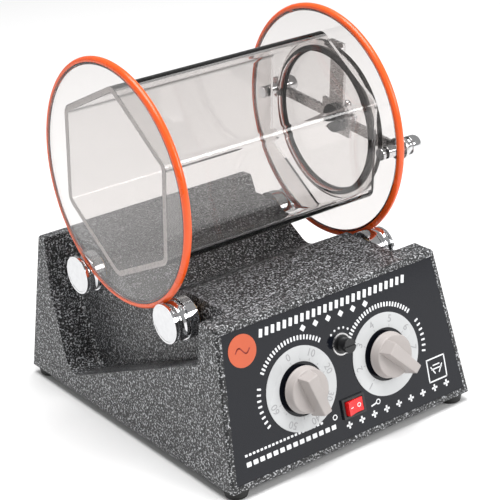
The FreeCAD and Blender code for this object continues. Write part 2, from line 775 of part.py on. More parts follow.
def knob(label, side, angle):
    """A round knob with a tapered pointer grip, and its spindle."""
    body = cone(label + "_round", "Size.knob_skirt", "Size.knob_top", "Size.knob_body", z=KNOB_FOOT)
    grip = padded(
        label + "_grip",
        "XY_Plane",
        [
            ("-Size.knob_top * 0.9", "-Size.grip_back / 2"),
            ("Size.knob_top * 0.9", "-Size.grip_nose / 2"),
            ("Size.grip_reach", "-Size.grip_nose / 4"),
            ("Size.grip_reach", "Size.grip_nose / 4"),
            ("Size.knob_top * 0.9", "Size.grip_nose / 2"),
            ("-Size.knob_top * 0.9", "Size.grip_back / 2"),
        ],
        "Size.knob_grip + Size.knob_body / 2",
    )
    move(grip, z=f"{KNOB_FOOT} + Size.knob_body / 2")
    bore = cylinder(label + "_socket", "Size.spindle_radius", "Size.knob_body", z=KNOB_FOOT)
    piece = cut(label + "_piece", fuse(label + "_solid", body, grip), bore)
    turn(piece, Z_AXIS, angle)
    node(label + "_knob", place_panel(carried(label + "_turned", piece), side, "Size.dial_up"))
    depth = "Size.overcut / 2 + Size.wall"
    spindle = cylinder(
        label + "_rod", "Size.spindle_radius", f"{KNOB_FOOT} + Size.knob_body + {depth}", z=f"-({depth})"
    )
    node(label + "_spindle", place_panel(carried(label + "_rod_placed", spindle), side, "Size.dial_up"))


def rocker_switch():
    side = "Size.switch_side"
    up = "Size.switch_up"
    rim = block("bezel_rim", "Size.bezel_long", "Size.bezel_tall", "Size.bezel", z=PANEL_FACE)
    body = block(
        "switch_box", "Size.switch_long", "Size.switch_tall", f"Size.switch_depth + {PANEL_FACE}",
        z="-Size.switch_depth"
    )
    well_depth = "(Size.rocker_long / 2 + 2 * Size.end_gap)"
    well = block(
        "rocker_well", "Size.rocker_long + 4 * Size.end_gap", "Size.rocker_tall + 2 * Size.end_gap",
        f"{well_depth} + Size.overcut", z=f"Size.rocker_pivot - {well_depth}",
    )
    pin_long = "(Size.rocker_tall + 2 * Size.end_gap + 1)"
    sockets = cylinder("pin_sockets", "Size.rocker_pin + Size.running_fit", pin_long)
    turn(sockets, X_AXIS, "-90")
    move(sockets, "0", f"-{pin_long} / 2", f"{PANEL_FACE} + Size.rocker_pivot")
    solid = fuse("switch_solid", rim, body)
    node("rocker_switch_body", place_panel(cut("switch_housing", solid, well, sockets), side, up))
    half = "Size.rocker_long / 2"
    shape = padded(
        "rocker_block",
        "XZ_Plane",
        [
            (f"-{half}", "-Size.rocker_dip"),
            (f"-{half} * 0.6", f"-{half} * 0.7"),
            (f"{half} * 0.6", f"-{half} * 0.7"),
            (half, "-Size.rocker_dip"),
            (half, "Size.rocker_rise"),
            ("0", "Size.rocker_dip"),
            (f"-{half}", "Size.rocker_rise"),
        ],
        "Size.rocker_tall",
        midplane=True,
    )
    pins = cylinder("rocker_pins", "Size.rocker_pin", f"{pin_long} - Size.insert_gap")
    turn(pins, X_AXIS, "-90")
    move(pins, "0", f"-({pin_long} - Size.insert_gap) / 2")
    pinned = fuse("rocker_with_pins", shape, pins)
    turn(pinned, Y_AXIS, "Size.rocker_throw")
    node(
        "power_rocker",
        place_panel(carried("rocker_placed", pinned), side, up, f"{PANEL_FACE} + Size.rocker_pivot")
    )


def fuse_holder():
    side = "Size.fuse_side"
    up = "Size.fuse_up"
    flange = cylinder("fuse_rim", "Size.fuse_flange", "1", z=PANEL_FACE)
    barrel = cylinder(
        "fuse_barrel", "Size.fuse_body", f"Size.fuse_depth + {PANEL_FACE}", z="-Size.fuse_depth"
    )
    floor = "Size.fuse_depth - Size.plate"
    bore = cylinder("fuse_bore", "Size.fuse_bore", f"{floor} + Size.overcut", z=f"-({floor})")
    node("fuse_holder", place_panel(cut("fuse_shell", fuse("fuse_solid", flange, barrel), bore), side, up))
    rim = f"({PANEL_FACE} + 1)"
    head = cylinder("cap_head", "Size.fuse_cap_radius", "Size.fuse_cap", z=f"{rim} + Size.insert_gap")
    stem = cylinder(
        "cap_stem", "Size.fuse_bore - Size.insert_gap", "Size.fuse_stem + Size.insert_gap",
        z=f"{rim} - Size.fuse_stem"
    )
    slot = block(
        "cap_slot", "2 * Size.fuse_cap_radius", "1.2", "1.4",
        z=f"{rim} + Size.insert_gap + Size.fuse_cap - 1.4"
    )
    node("fuse_cap", place_panel(cut("cap", fuse("cap_solid", head, stem), slot), side, up))
    link = cylinder(
        "fuse_link", "Size.fuse_radius", "Size.fuse_length", z=f"{rim} - Size.fuse_stem - Size.fuse_length"
    )
    node("glass_fuse", place_panel(carried("fuse_placed", link), side, up))


control_panel()
nuts = [
    control("timer_body", "-Size.dial_side", "Size.timer_radius", "Size.timer_depth"),
    control("speed_control_body", "Size.dial_side", "Size.speed_radius", "Size.speed_depth"),
]
node("control_nuts", place_panel(group("control_nut_set", nuts), "0", "0"))
knob("timer", "-Size.dial_side", "Size.timer_angle")
knob("speed", "Size.dial_side", "Size.speed_angle")
rocker_switch()
fuse_holder()
board_back = "-Size.wall - Size.insert_gap - Size.speed_depth - Size.board"
board = block("board_sheet", "Size.board_wide", "Size.board_tall", "Size.board", z=board_back)
node("speed_control_board", place_panel(carried("board_placed", board), "Size.dial_side", "Size.dial_up"))


# ---------------------------------------------------------------- back
def mains_inlet():
    rim = block("inlet_rim", "Size.inlet_long", "Size.inlet_tall", "Size.inlet_flange")
    body = block(
        "inlet_box", "Size.inlet_body_long", "Size.inlet_body_tall", "Size.inlet_depth", z="-Size.inlet_depth"
    )
    cavity = block(
        "inlet_cavity", "Size.inlet_cavity_long", "Size.inlet_cavity_tall", "Size.inlet_depth + Size.overcut",
        z="Size.plate - Size.inlet_depth",
    )
    holes = [
        cylinder("inlet_fixing", "Size.screw_radius", "Size.inlet_flange", f"{s} * Size.inlet_screws / 2")
        for s in ("-1", "1")
    ]
    node(
        "mains_inlet",
        place_back(
            cut("inlet", fuse("inlet_solid", rim, body), cavity, *holes), "-Size.inlet_side", "Size.inlet_up"
        ),
    )
    pins = [
        block(
            "inlet_pin", "Size.pin_thick", "Size.pin_long", "Size.inlet_depth - 4 * Size.plate",
            f"{s} * Size.pin_spread", f"{v} * 2", "Size.plate - Size.inlet_depth"
        )
        for s, v in (("-1", "1"), ("0", "-1"), ("1", "1"))
    ]
    node("inlet_pins", place_back(group("pins", pins), "-Size.inlet_side", "Size.inlet_up"))
    screws = []
    for s in ("-1", "1"):
        across = f"{s} * Size.inlet_screws / 2"
        head = cylinder(
            "inlet_screw_head", "Size.screw_head_radius * 0.8", "Size.screw_head / 2", across,
            z="Size.inlet_flange"
        )
        stem = cylinder(
            "inlet_screw_stem", "Size.screw_radius", "Size.inlet_flange + 2 * Size.wall", across,
            z="-2 * Size.wall"
        )
        screws.append(fuse("inlet_screw", head, stem))
    node("inlet_screws", place_back(group("inlet_screw_set", screws), "-Size.inlet_side", "Size.inlet_up"))


mains_inlet()


# ---------------------------------------------------------------- drum
def hexagon(name, apothem, height, corner):
    prism = doc.addObject("Part::Prism", name)
    prism.Polygon = 6
    bind(prism, Circumradius=f"({apothem}) / cos(30)", Height=height)
    doc.recompute()
    soft = rounded(name + "_soft", prism, [(along(Z_AXIS), number(corner))])
    return soft


def drum():
    length = f"2 * {DISC_IN}"
    outside = hexagon("tube_outside", "Size.flat_to_flat / 2", length, "Size.tube_round")
    inside = hexagon(
        "tube_inside", "Size.flat_to_flat / 2 - Size.tube_wall", length, "Size.tube_round - Size.tube_wall"
    )
    tube = cut("tube", outside, inside)
    # laid along X, an outline turned by 0 has a corner straight down
    turn(tube, Z_AXIS, "Size.drum_turn")
    node("barrel_tube", place_drum(carried("tube_turned", tube), f"-{DISC_IN}"))

    rim = "Size.ring_radius - Size.rim_inset"
    for label, start, side in (("end_disc_closed", f"-{DISC_OUT}", "-1"), ("end_disc_open", DISC_IN, "1")):
        blank = cylinder(label + "_blank", rim, "Size.disc_thickness")
        groove = torus(label + "_groove", "Size.ring_radius", "Size.ring_section", "Size.disc_thickness / 2")
        tools = [groove]
        if side == "1":
            tools.append(cylinder("lid_opening", "Size.opening_radius", "Size.disc_thickness"))
            for s in ("-1", "1"):
                tools.append(
                    cylinder(
                        "stud_hole", "Size.stud_radius", "Size.disc_thickness",
                        f"{s} * Size.stud_circle * cos({STUD_TURN} + 90)",
                        f"{s} * Size.stud_circle * sin({STUD_TURN} + 90)",
                    )
                )
        node(label, place_drum(cut(label + "_solid", blank, *tools), start))
    for label, plane in (
        ("drive_ring_closed_end", "-Size.ring_plane"), ("drive_ring_lid_end", "Size.ring_plane")
    ):
        ring = torus(label + "_torus", "Size.ring_radius", "Size.ring_section")
        node(label, place_drum(carried(label + "_placed", ring), plane))

    studs = []
    for s in ("-1", "1"):
        spot = (
            f"{s} * Size.stud_circle * cos({STUD_TURN} + 90)",
            f"{s} * Size.stud_circle * sin({STUD_TURN} + 90)"
        )
        reach = f"{NUT_OUT} - Size.nut_round - {DISC_IN}"
        rod = cylinder("stud_rod", "Size.stud_radius", reach, *spot)
        head = cylinder("stud_head", "Size.stud_head_radius", "Size.stud_head", *spot, "-Size.stud_head")
        shoulder = cylinder(
            "stud_shoulder", "Size.stud_head_radius", f"{YOKE_IN} - {DISC_OUT} - Size.insert_gap", *spot,
            "Size.disc_thickness"
        )
        studs.append(fuse("stud", rod, head, shoulder))
    node("clamp_studs", place_drum(group("stud_set", studs), DISC_IN))


def lid():
    gasket = cut(
        "gasket_ring", cylinder("gasket_disc", "Size.gasket_outer", "Size.gasket"),
        cylinder("gasket_hole", "Size.gasket_inner", "Size.gasket")
    )
    node("lid_gasket", place_drum(gasket, DISC_OUT))
    node("lid_disc", place_drum(cylinder("lid", "Size.lid_radius", "Size.lid_thickness"), LID_IN))
    node("pressure_pad", place_drum(cylinder("pad", "Size.pad_radius", "Size.pad_thickness"), LID_OUT))


def clamp():
    """The yoke: a hub plate, two side arms with eyes for the studs and one broad upper arm."""
    arms = block("yoke_arms", "Size.yoke_arm", "2 * Size.stud_circle", "Size.yoke_thickness")
    hub = block("yoke_hub", "Size.yoke_hub_wide", "Size.yoke_hub_long", "Size.yoke_thickness")
    finger = block(
        "yoke_finger", "Size.yoke_reach", "Size.yoke_finger", "Size.yoke_thickness", "-Size.yoke_reach / 2"
    )
    foot = block(
        "yoke_toe", "Size.yoke_thickness", "Size.yoke_finger", "Size.yoke_gap + Size.yoke_thickness",
        "-Size.yoke_reach + Size.yoke_thickness / 2 + 3", z="-Size.yoke_gap"
    )
    eyes = [
        cylinder("yoke_eye", "Size.yoke_eye_radius", "Size.yoke_thickness", y=f"{s} * Size.stud_circle")
        for s in ("-1", "1")
    ]
    boss = cylinder("yoke_boss", "2 * Size.clamp_radius", "2 * Size.yoke_thickness")
    holes = [
        cylinder(
            "yoke_hole", "Size.stud_radius + 2 * Size.running_fit", "Size.yoke_thickness",
            y=f"{s} * Size.stud_circle"
        )
        for s in ("-1", "1")
    ]
    thread = cylinder("yoke_thread", "Size.clamp_radius + Size.running_fit", "2 * Size.yoke_thickness")
    yoke = cut("yoke", fuse("yoke_solid", arms, hub, finger, foot, boss, *eyes), thread, *holes)
    turn(yoke, Z_AXIS, STUD_TURN)
    node("lid_yoke", place_drum(carried("yoke_turned", yoke), YOKE_IN))

    start = f"({LID_OUT} + Size.pad_thickness)"
    screw = cylinder("clamp_rod", "Size.clamp_radius", "Size.clamp_length")
    node("clamp_screw", place_drum(screw, start))
    hub_knob = cylinder("knob_hub", "Size.clamp_knob_radius * 0.55", "Size.clamp_knob")
    lobes = []
    for i in range(4):
        lobes.append(
            cylinder(
                "knob_lobe", "Size.clamp_knob_radius * 0.35", "Size.clamp_knob",
                f"Size.clamp_knob_radius * 0.65 * cos({i} * 90)",
                f"Size.clamp_knob_radius * 0.65 * sin({i} * 90)",
            )
        )
    socket = cylinder("knob_socket", "Size.clamp_radius", "Size.clamp_knob * 0.7")
    cross = cut("clamp_knob_solid", fuse("clamp_knob_blank", hub_knob, *lobes), socket)
    turn(cross, Z_AXIS, STUD_TURN)
    node(
        "clamp_knob",
        place_drum(
            carried("clamp_knob_turned", cross), f"{start} + Size.clamp_length - Size.clamp_knob * 0.7"
        )
    )

    for label, s in (("thumb_nut_front", "-1"), ("thumb_nut_rear", "1")):
        shape = turned(
            label + "_turned",
            [
                ("Size.stud_radius + Size.running_fit", "0"),
                ("Size.nut_radius", "0"),
                ("Size.nut_radius", "Size.nut_length - Size.nut_round"),
                ("Size.nut_radius - Size.nut_round * 0.3", "Size.nut_length - Size.nut_round * 0.3"),
                ("Size.nut_radius - Size.nut_round", "Size.nut_length"),
                ("0", "Size.nut_length"),
                ("0", "Size.nut_length - Size.nut_round + Size.end_gap"),
                ("Size.stud_radius + Size.running_fit", "Size.nut_length - Size.nut_round + Size.end_gap"),
            ],
        )
        y = f"{s} * Size.stud_circle * cos({STUD_TURN})"
        z = f"{s} * Size.stud_circle * sin({STUD_TURN})"
        node(label, place_axial(shape, YOKE_OUT, y, f"Size.axis_height + {z}"))


drum()
lid()
clamp()


# ---------------------------------------------------------------- rollers and drive
def roller(label, side, back):
    """A chrome roller, closed at its outer face, with a groove that the drive ring runs in."""
    tread = "(Size.roller_collar + Size.roller_neck)"
    outline = [
        ("Size.shaft_radius", "0"),
        ("Size.roller_collar_radius", "0"),
        ("Size.roller_collar_radius", "Size.roller_collar"),
        ("Size.roller_neck_radius", "Size.roller_collar"),
        ("Size.roller_neck_radius", tread),
        ("Size.roller_radius", tread),
        ("Size.roller_radius", f"{ROLLER_LENGTH} - Size.roller_chamfer"),
        ("Size.roller_radius - Size.roller_chamfer", ROLLER_LENGTH),
        ("0", ROLLER_LENGTH),
        ("0", f"{ROLLER_LENGTH} - Size.roller_cap"),
        ("Size.shaft_radius", f"{ROLLER_LENGTH} - Size.roller_cap"),
    ]
    blank = turned(label + "_blank", outline)
    groove = torus(
        label + "_groove", f"{GROOVE_FLOOR} + Size.groove_arc", "Size.groove_arc",
        f"Size.ring_plane - {ROLLER_IN}"
    )
    pin_hole = cylinder(label + "_pin_hole", "Size.screw_radius", "Size.roller_collar_radius")
    turn(pin_hole, Y_AXIS, "90")
    move(pin_hole, z="Size.roller_collar / 2")
    piece = cut(label + "_solid", blank, groove, pin_hole)
    if side == "-1":
        turn(piece, Y_AXIS, "180")
    placed = carried(label + "_placed", piece)
    node(label, place_axial(placed, f"{side} * {ROLLER_IN}", back, SHAFT_HEIGHT))


def shaft_set(name, back):
    """One shaft with its two rollers, their set screws and the clips inside the bearings."""
    half = f"({ROLLER_OUT} - Size.roller_cap)"
    node(
        f"{name}_shaft",
        place_axial(
            cylinder(f"{name}_rod", "Size.shaft_radius", f"2 * {half}"), f"-{half}", back, SHAFT_HEIGHT
        )
    )
    roller(f"roller_{name}_left", "-1", back)
    roller(f"roller_{name}_right", "1", back)
    screws = []
    clips = []
    for side in ("-1", "1"):
        screw = cylinder("set_screw", "Size.screw_radius", "Size.roller_collar_radius - Size.shaft_radius")
        turn(screw, Y_AXIS, f"{side} * 90")
        screws.append(
            move(
                screw, f"{side} * Size.shaft_radius", "0", f"{side} * ({ROLLER_IN} + Size.roller_collar / 2)"
            )
        )
        plane = f"{side} * ({BUSH_IN} - Size.end_gap) - (1 + {side}) / 2 * Size.clip"
        clips.append(
            cut(
                "clip", cylinder("clip_disc", "Size.clip_radius", "Size.clip", z=plane),
                cylinder("clip_hole", "Size.shaft_radius", "Size.clip", z=plane),
            )
        )
    node(
        f"{name}_roller_set_screws", place_axial(group(f"{name}_set_screws", screws), "0", back, SHAFT_HEIGHT)
    )
    node(f"{name}_shaft_clips", place_axial(group(f"{name}_clips", clips), "0", back, SHAFT_HEIGHT))
    for label, side in (("left", "-1"), ("right", "1")):
        sleeve = cylinder("bush_sleeve", "Size.bush_radius", "Size.bush_length")
        flange = cylinder("bush_flange", "Size.bush_flange_radius", "Size.bush_flange", z="Size.bush_length")
        bore = cylinder(
            "bush_bore", "Size.shaft_radius + Size.running_fit", "Size.bush_length + Size.bush_flange"
        )
        bush = cut(f"{name}_{label}_bush", fuse("bush_solid", sleeve, flange), bore)
        if side == "-1":
            turn(bush, Y_AXIS, "180")
        placed = carried(f"{name}_{label}_bush_placed", bush)
        node(f"bearing_{name}_{label}", place_axial(placed, f"{side} * {BUSH_IN}", back, SHAFT_HEIGHT))


def pulley(label, bore, back, height):
    """A grooved pulley for the round belt."""
    width = "2 * (Size.belt_radius + Size.roll_gap)"
    low = f"Size.pulley_width / 2 - {width} / 2"
    mouth = cut(
        label + "_mouth",
        cylinder(label + "_mouth_outside", "2 * Size.pulley_radius", width, z=low),
        cylinder(label + "_mouth_inside", "Size.belt_line", width, z=low),
    )
    blank = cut(
        label + "_blank",
        cylinder(label + "_disc", "Size.pulley_radius", "Size.pulley_width"),
        cylinder(label + "_bore", bore, "Size.pulley_width"),
        torus(
            label + "_groove", "Size.belt_line", "Size.belt_radius + Size.roll_gap", "Size.pulley_width / 2"
        ),
        mouth,
    )
    node(label, place_axial(blank, "Size.belt_plane - Size.pulley_width / 2", back, height))


def drive():
    pulley("shaft_pulley", "Size.shaft_radius", "Size.roller_spread", SHAFT_HEIGHT)
    pulley("motor_pulley", "Size.output_radius", "Size.motor_back", "Size.motor_height")

    # the belt: two straight runs and two half turns round equal pulleys
    run_y = "(Size.roller_spread - Size.motor_back)"
    run_z = f"({SHAFT_HEIGHT} - Size.motor_height)"
    span = f"sqrt({run_y}^2 + {run_z}^2)"
    loops = []
    for at, half_way in (("0", "-Size.pulley_radius"), (span, f"{span} + Size.pulley_radius")):
        ring = torus("belt_turn", "Size.belt_line", "Size.belt_radius")
        move(ring, y=at)
        half = block(
            "belt_half", "4 * Size.pulley_radius", "2 * Size.pulley_radius", "4 * Size.belt_radius",
            y=half_way, z="-2 * Size.belt_radius",
        )
        loops.append(common("belt_arc", ring, half))
    for s in ("-1", "1"):
        run = cylinder("belt_run", "Size.belt_radius", span)
        turn(run, X_AXIS, "-90")
        loops.append(move(run, f"{s} * Size.belt_line"))
    belt = fuse("belt_loop", *loops)
    turn(belt, Z_AXIS, f"atan2({run_z}; {run_y})")
    node(
        "drive_belt",
        place_axial(carried("belt_placed", belt), "Size.belt_plane", "Size.motor_back", "Size.motor_height")
    )

    face = "Size.bracket_plane"
    back = "Size.motor_back"
    height = "Size.motor_height"
    can = cylinder("motor_can", "Size.motor_radius", "Size.motor_length")
    cap = cylinder("motor_cap", "Size.motor_radius * 0.45", "6", z="-6")
    node(
        "motor",
        place_axial(
            fuse("motor_solid", can, cap), f"{face} - Size.gearbox_length - Size.motor_length", back, height
        )
    )
    box = block("gearbox_box", "Size.gearbox_width", "Size.gearbox_width", "Size.gearbox_length")
    bore = cylinder(
        "gearbox_bore", "Size.output_radius + Size.running_fit", "Size.gearbox_length * 0.6",
        z="Size.gearbox_length * 0.4"
    )
    node(
        "gearbox", place_axial(cut("gearbox_solid", box, bore), f"{face} - Size.gearbox_length", back, height)
    )
    stub = "Size.gearbox_length * 0.5"
    length = f"Size.belt_plane + Size.pulley_width / 2 - {face} + {stub}"
    node(
        "motor_output_shaft",
        place_axial(cylinder("output_rod", "Size.output_radius", length), f"{face} - {stub}", back, height)
    )

    tall = "(Size.motor_height + Size.gearbox_width / 2 - Size.plate)"
    upright = block(
        "bracket_upright", "Size.bracket", "2 * Size.bracket_side", tall, f"{face} + Size.bracket / 2", back,
        "Size.plate"
    )
    foot = block(
        "bracket_foot", "Size.bracket_foot", "2 * Size.bracket_side", "Size.bracket",
        f"{face} + Size.bracket_foot / 2", back, "Size.plate"
    )
    hole = cylinder("bracket_hole", "Size.output_radius * 2", "Size.bracket", face, back, height)
    turn(hole, Y_AXIS, "90")
    foot_holes = []
    bolts = []
    for s in ("-1", "1"):
        spot = (f"{face} + Size.bracket_foot * 0.65", f"{back} + {s} * Size.bracket_side * 0.75")
        foot_holes.append(
            cylinder("bracket_foot_hole", "Size.screw_radius", "Size.bracket", *spot, "Size.plate")
        )
        head = cylinder(
            "bracket_screw_head", "Size.screw_head_radius", "Size.screw_head", *spot,
            "Size.plate + Size.bracket"
        )
        stem = cylinder("bracket_screw_stem", "Size.screw_radius", "Size.bracket", *spot, "Size.plate")
        bolts.append(fuse("bracket_screw", head, stem))
    node(
        "motor_bracket", place(cut("bracket_solid", fuse("bracket_blank", upright, foot), hole, *foot_holes))
    )
    node("bracket_screws", place(group("bracket_screw_set", bolts)))


shaft_set("front", "-Size.roller_spread")
shaft_set("rear", "Size.roller_spread")
drive()


# ---------------------------------------------------------------- checks and files
doc.recompute()
for thing in doc.Objects:
    if "Invalid" in thing.State or "Error" in thing.State:
        raise RuntimeError(f"{thing.Name} ({thing.Label}) did not build: {thing.State}")
for label, thing in NODES.items():
    if thing.Shape.isNull() or not thing.Shape.isValid() or not thing.Shape.Solids:
        raise RuntimeError(f"{label} has no valid solid")

os.makedirs("parts", exist_ok=True)
for label, thing in NODES.items():
    thing.Shape.exportStep(f"parts/{label}.step")
    print(f"{label:28s} solids {len(thing.Shape.Solids)} volume {thing.Shape.Volume:10.1f}")
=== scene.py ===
import json
import math
import bpy
from mathutils import Matrix, Vector


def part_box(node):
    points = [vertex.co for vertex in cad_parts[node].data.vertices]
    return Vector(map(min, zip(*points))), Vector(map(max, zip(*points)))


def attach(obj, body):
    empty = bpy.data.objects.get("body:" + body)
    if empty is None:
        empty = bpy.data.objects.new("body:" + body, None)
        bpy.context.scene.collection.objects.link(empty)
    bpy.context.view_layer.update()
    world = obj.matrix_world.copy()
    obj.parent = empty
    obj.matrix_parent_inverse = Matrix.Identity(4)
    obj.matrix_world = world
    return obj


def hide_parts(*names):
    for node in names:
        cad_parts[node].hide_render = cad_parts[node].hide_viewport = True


bl_info = {
    "name": "Rotary rock tumbler",
    "version": (1, 0, 0),
    "blender": (4, 5, 0),
    "location": "3D View > Sidebar > Tumbler",
    "description": "Dresses the packed tumbler: clear barrel, drive rings, clamp, control panel and studio",
    "category": "Object",
}

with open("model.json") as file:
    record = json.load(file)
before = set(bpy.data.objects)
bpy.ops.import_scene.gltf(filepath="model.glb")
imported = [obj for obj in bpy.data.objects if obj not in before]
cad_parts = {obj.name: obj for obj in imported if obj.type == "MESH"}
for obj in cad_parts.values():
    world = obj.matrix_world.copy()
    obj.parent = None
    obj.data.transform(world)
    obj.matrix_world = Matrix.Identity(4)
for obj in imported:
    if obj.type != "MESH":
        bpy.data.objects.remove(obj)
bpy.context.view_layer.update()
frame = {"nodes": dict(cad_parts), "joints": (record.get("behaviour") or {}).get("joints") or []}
NODES = frame["nodes"]
JOINTS = {joint["name"]: joint for joint in frame["joints"]}


MM = 0.001
SAME_FACE = math.radians(0.4)  # neighbouring faces that turn less than this are one flat face
MERGED = 0.002 * MM            # a copy's vertices nearer than this are one vertex


# ------------------------------------------------------------------ places
def low(name):
    return Vector(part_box(name)[0])


def high(name):
    return Vector(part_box(name)[1])


def middle(name):
    return (low(name) + high(name)) / 2


def inner_end(node, out=1):
    """The middle of a node's end on X that faces away from out, 1 for right and -1 for left."""
    return Vector((low(node).x if out > 0 else high(node).x, middle(node).y, middle(node).z))


def length(node):
    return high(node).x - low(node).x


def radius(node):
    """Half the height of a node that is round about X."""
    return (high(node).z - low(node).z) / 2


def pivot(joint):
    return Vector(JOINTS[joint]["pos_m"])


def along(joint):
    return Vector(JOINTS[joint]["axis"]).normalized()


def standing(place, out, side=Vector((1, 0, 0))):
    """Turns a piece made round its own Z so that it stands along out, its X kept near side."""
    third = Vector(out).normalized()
    second = third.cross(side).normalized()
    first = second.cross(third)
    axes = Matrix((first, second, third)).transposed().to_4x4()
    return Matrix.Translation(place) @ axes


DRUM = middle("barrel_tube")
RIGHT = Vector((1, 0, 0))
BACK = Vector((0, 1, 0))
TOP = Vector((0, 0, 1))
OUT = along("timer_turn")
UP = OUT.cross(RIGHT)
PANEL = (pivot("timer_turn") + pivot("speed_turn")) / 2
DIAL_SPREAD = (pivot("speed_turn") - PANEL).x
FACE = max((vertex.co - PANEL).dot(OUT) for vertex in NODES["front_fascia"].data.vertices)


def on_panel(sideways, upwards, outwards=0.0, turn=0.0):
    """A place on the panel's face, measured in metres from the mid-point between the dials."""
    place = PANEL + RIGHT * sideways + UP * upwards + OUT * (FACE + outwards)
    return standing(place, OUT) @ Matrix.Rotation(math.radians(turn), 4, "Z")


def round_place(sideways, upwards, reach, angle, outwards=0.0, turn=0.0):
    """A place on the panel at an angle round a point of it."""
    bearing = math.radians(angle)
    return on_panel(sideways + reach * math.cos(bearing), upwards + reach * math.sin(bearing), outwards, turn)


def row(first, step, count, upwards, turn=0.0):
    """Places in a level row on the panel, measured in millimetres."""
    return [on_panel((first + step * i) * MM, upwards * MM, 0, turn) for i in range(count)]


# ------------------------------------------------------------------ settings
class TumblerColours(bpy.types.PropertyGroup):
    """Colours of the tumbler's finishes."""
    paint_ground: bpy.props.FloatVectorProperty(
        name="Paint ground", description="Dark ground of the hammered paint", subtype="COLOR",
        default=(0.003, 0.0033, 0.004), min=0, max=1)
    paint_fleck: bpy.props.FloatVectorProperty(
        name="Paint fleck", description="Silver flecks of the hammered paint", subtype="COLOR",
        default=(0.60, 0.61, 0.63), min=0, max=1)
    panel: bpy.props.FloatVectorProperty(
        name="Panel", description="Glossy panel sheet", subtype="COLOR",
        default=(0.006, 0.007, 0.011), min=0, max=1)
    ring: bpy.props.FloatVectorProperty(
        name="Drive rings", description="Orange urethane", subtype="COLOR",
        default=(0.92, 0.108, 0.008), min=0, max=1)
    knob: bpy.props.FloatVectorProperty(
        name="Knobs", description="Moulded knobs", subtype="COLOR",
        default=(0.42, 0.385, 0.37), min=0, max=1)
    rocker: bpy.props.FloatVectorProperty(
        name="Rocker", description="Power rocker", subtype="COLOR",
        default=(0.72, 0.012, 0.014), min=0, max=1)
    label: bpy.props.FloatVectorProperty(
        name="Sticker", description="Supply sticker", subtype="COLOR",
        default=(0.62, 0.115, 0.045), min=0, max=1)
    print_white: bpy.props.FloatVectorProperty(
        name="Print", description="White marks of the panel", subtype="COLOR",
        default=(0.82, 0.83, 0.84), min=0, max=1)


class TumblerSizes(bpy.types.PropertyGroup):
    """Sizes of the details added to the CAD."""
    print_height: bpy.props.FloatProperty(
        name="Print height", description="How far the printed marks stand from the panel", default=0.00008,
        min=0.00001, max=0.001, unit="LENGTH", precision=5)
    edge_round: bpy.props.FloatProperty(
        name="Edge rounding", description="Rounding of moulded and machined edges", default=0.0004,
        min=0, max=0.003, unit="LENGTH", precision=5)
    knob_round: bpy.props.FloatProperty(
        name="Knob rounding", description="Rounding of the knobs' edges", default=0.0009,
        min=0, max=0.003, unit="LENGTH", precision=5)
    number_height: bpy.props.FloatProperty(
        name="Number height", description="Height of the numbers on the dials", default=0.0058,
        min=0.001, max=0.01, unit="LENGTH", precision=5)


def colours():
    return bpy.context.scene.tumbler_colours


def sizes():
    return bpy.context.scene.tumbler_sizes


# ------------------------------------------------------------------ modelling by hand
def nothing_selected():
    if bpy.context.object and bpy.context.object.mode != "OBJECT":
        bpy.ops.object.mode_set(mode="OBJECT")
    bpy.ops.object.select_all(action="DESELECT")


def take(piece):
    """Make a piece the only one selected."""
    nothing_selected()
    piece.select_set(True)
    bpy.context.view_layer.objects.active = piece
    return piece


def named(name):
    piece = bpy.context.object
    piece.name = name
    piece.data.name = name
    return piece


def spun(name, outline, closed=False, steps=96):
    """Draw an outline of (radius, height) points by extruding a vertex, and spin it round Z."""
    nothing_selected()
    bpy.ops.mesh.primitive_plane_add(size=0.001)
    piece = named(name)
    bpy.ops.object.mode_set(mode="EDIT")
    bpy.ops.mesh.select_all(action="SELECT")
    bpy.ops.mesh.merge(type="CENTER")
    bpy.ops.transform.translate(value=(outline[0][0], 0, outline[0][1]))
    for start, end in zip(outline, outline[1:]):
        step = (end[0] - start[0], 0, end[1] - start[1])
        bpy.ops.mesh.extrude_region_move(TRANSFORM_OT_translate={"value": step})
    if closed:
        bpy.ops.object.mode_set(mode="OBJECT")
        for vertex in piece.data.vertices:
            vertex.select = vertex.index in (0, len(outline) - 1)
        bpy.ops.object.mode_set(mode="EDIT")
        bpy.ops.mesh.edge_face_add()
    bpy.ops.mesh.select_all(action="SELECT")
    bpy.ops.mesh.spin(steps=steps, angle=math.tau, center=(0, 0, 0), axis=(0, 0, 1))
    bpy.ops.mesh.select_all(action="SELECT")
    bpy.ops.mesh.remove_doubles(threshold=MERGED / 2)
    bpy.ops.mesh.normals_make_consistent(inside=False)
    bpy.ops.object.mode_set(mode="OBJECT")
    return piece


def copied(name, node):
    """A copy of a CAD node with its loose triangles merged into whole faces."""
    piece = NODES[node].copy()
    piece.data = NODES[node].data.copy()
    piece.name = name
    piece.data.name = name
    piece.parent = None
    bpy.context.collection.objects.link(piece)
    piece.data.materials.clear()
    take(piece)
    bpy.ops.mesh.customdata_custom_splitnormals_clear()
    bpy.ops.object.mode_set(mode="EDIT")
    bpy.ops.mesh.select_all(action="SELECT")
    bpy.ops.mesh.remove_doubles(threshold=MERGED)
    bpy.ops.mesh.dissolve_limited(angle_limit=SAME_FACE)
    bpy.ops.object.mode_set(mode="OBJECT")
    return piece


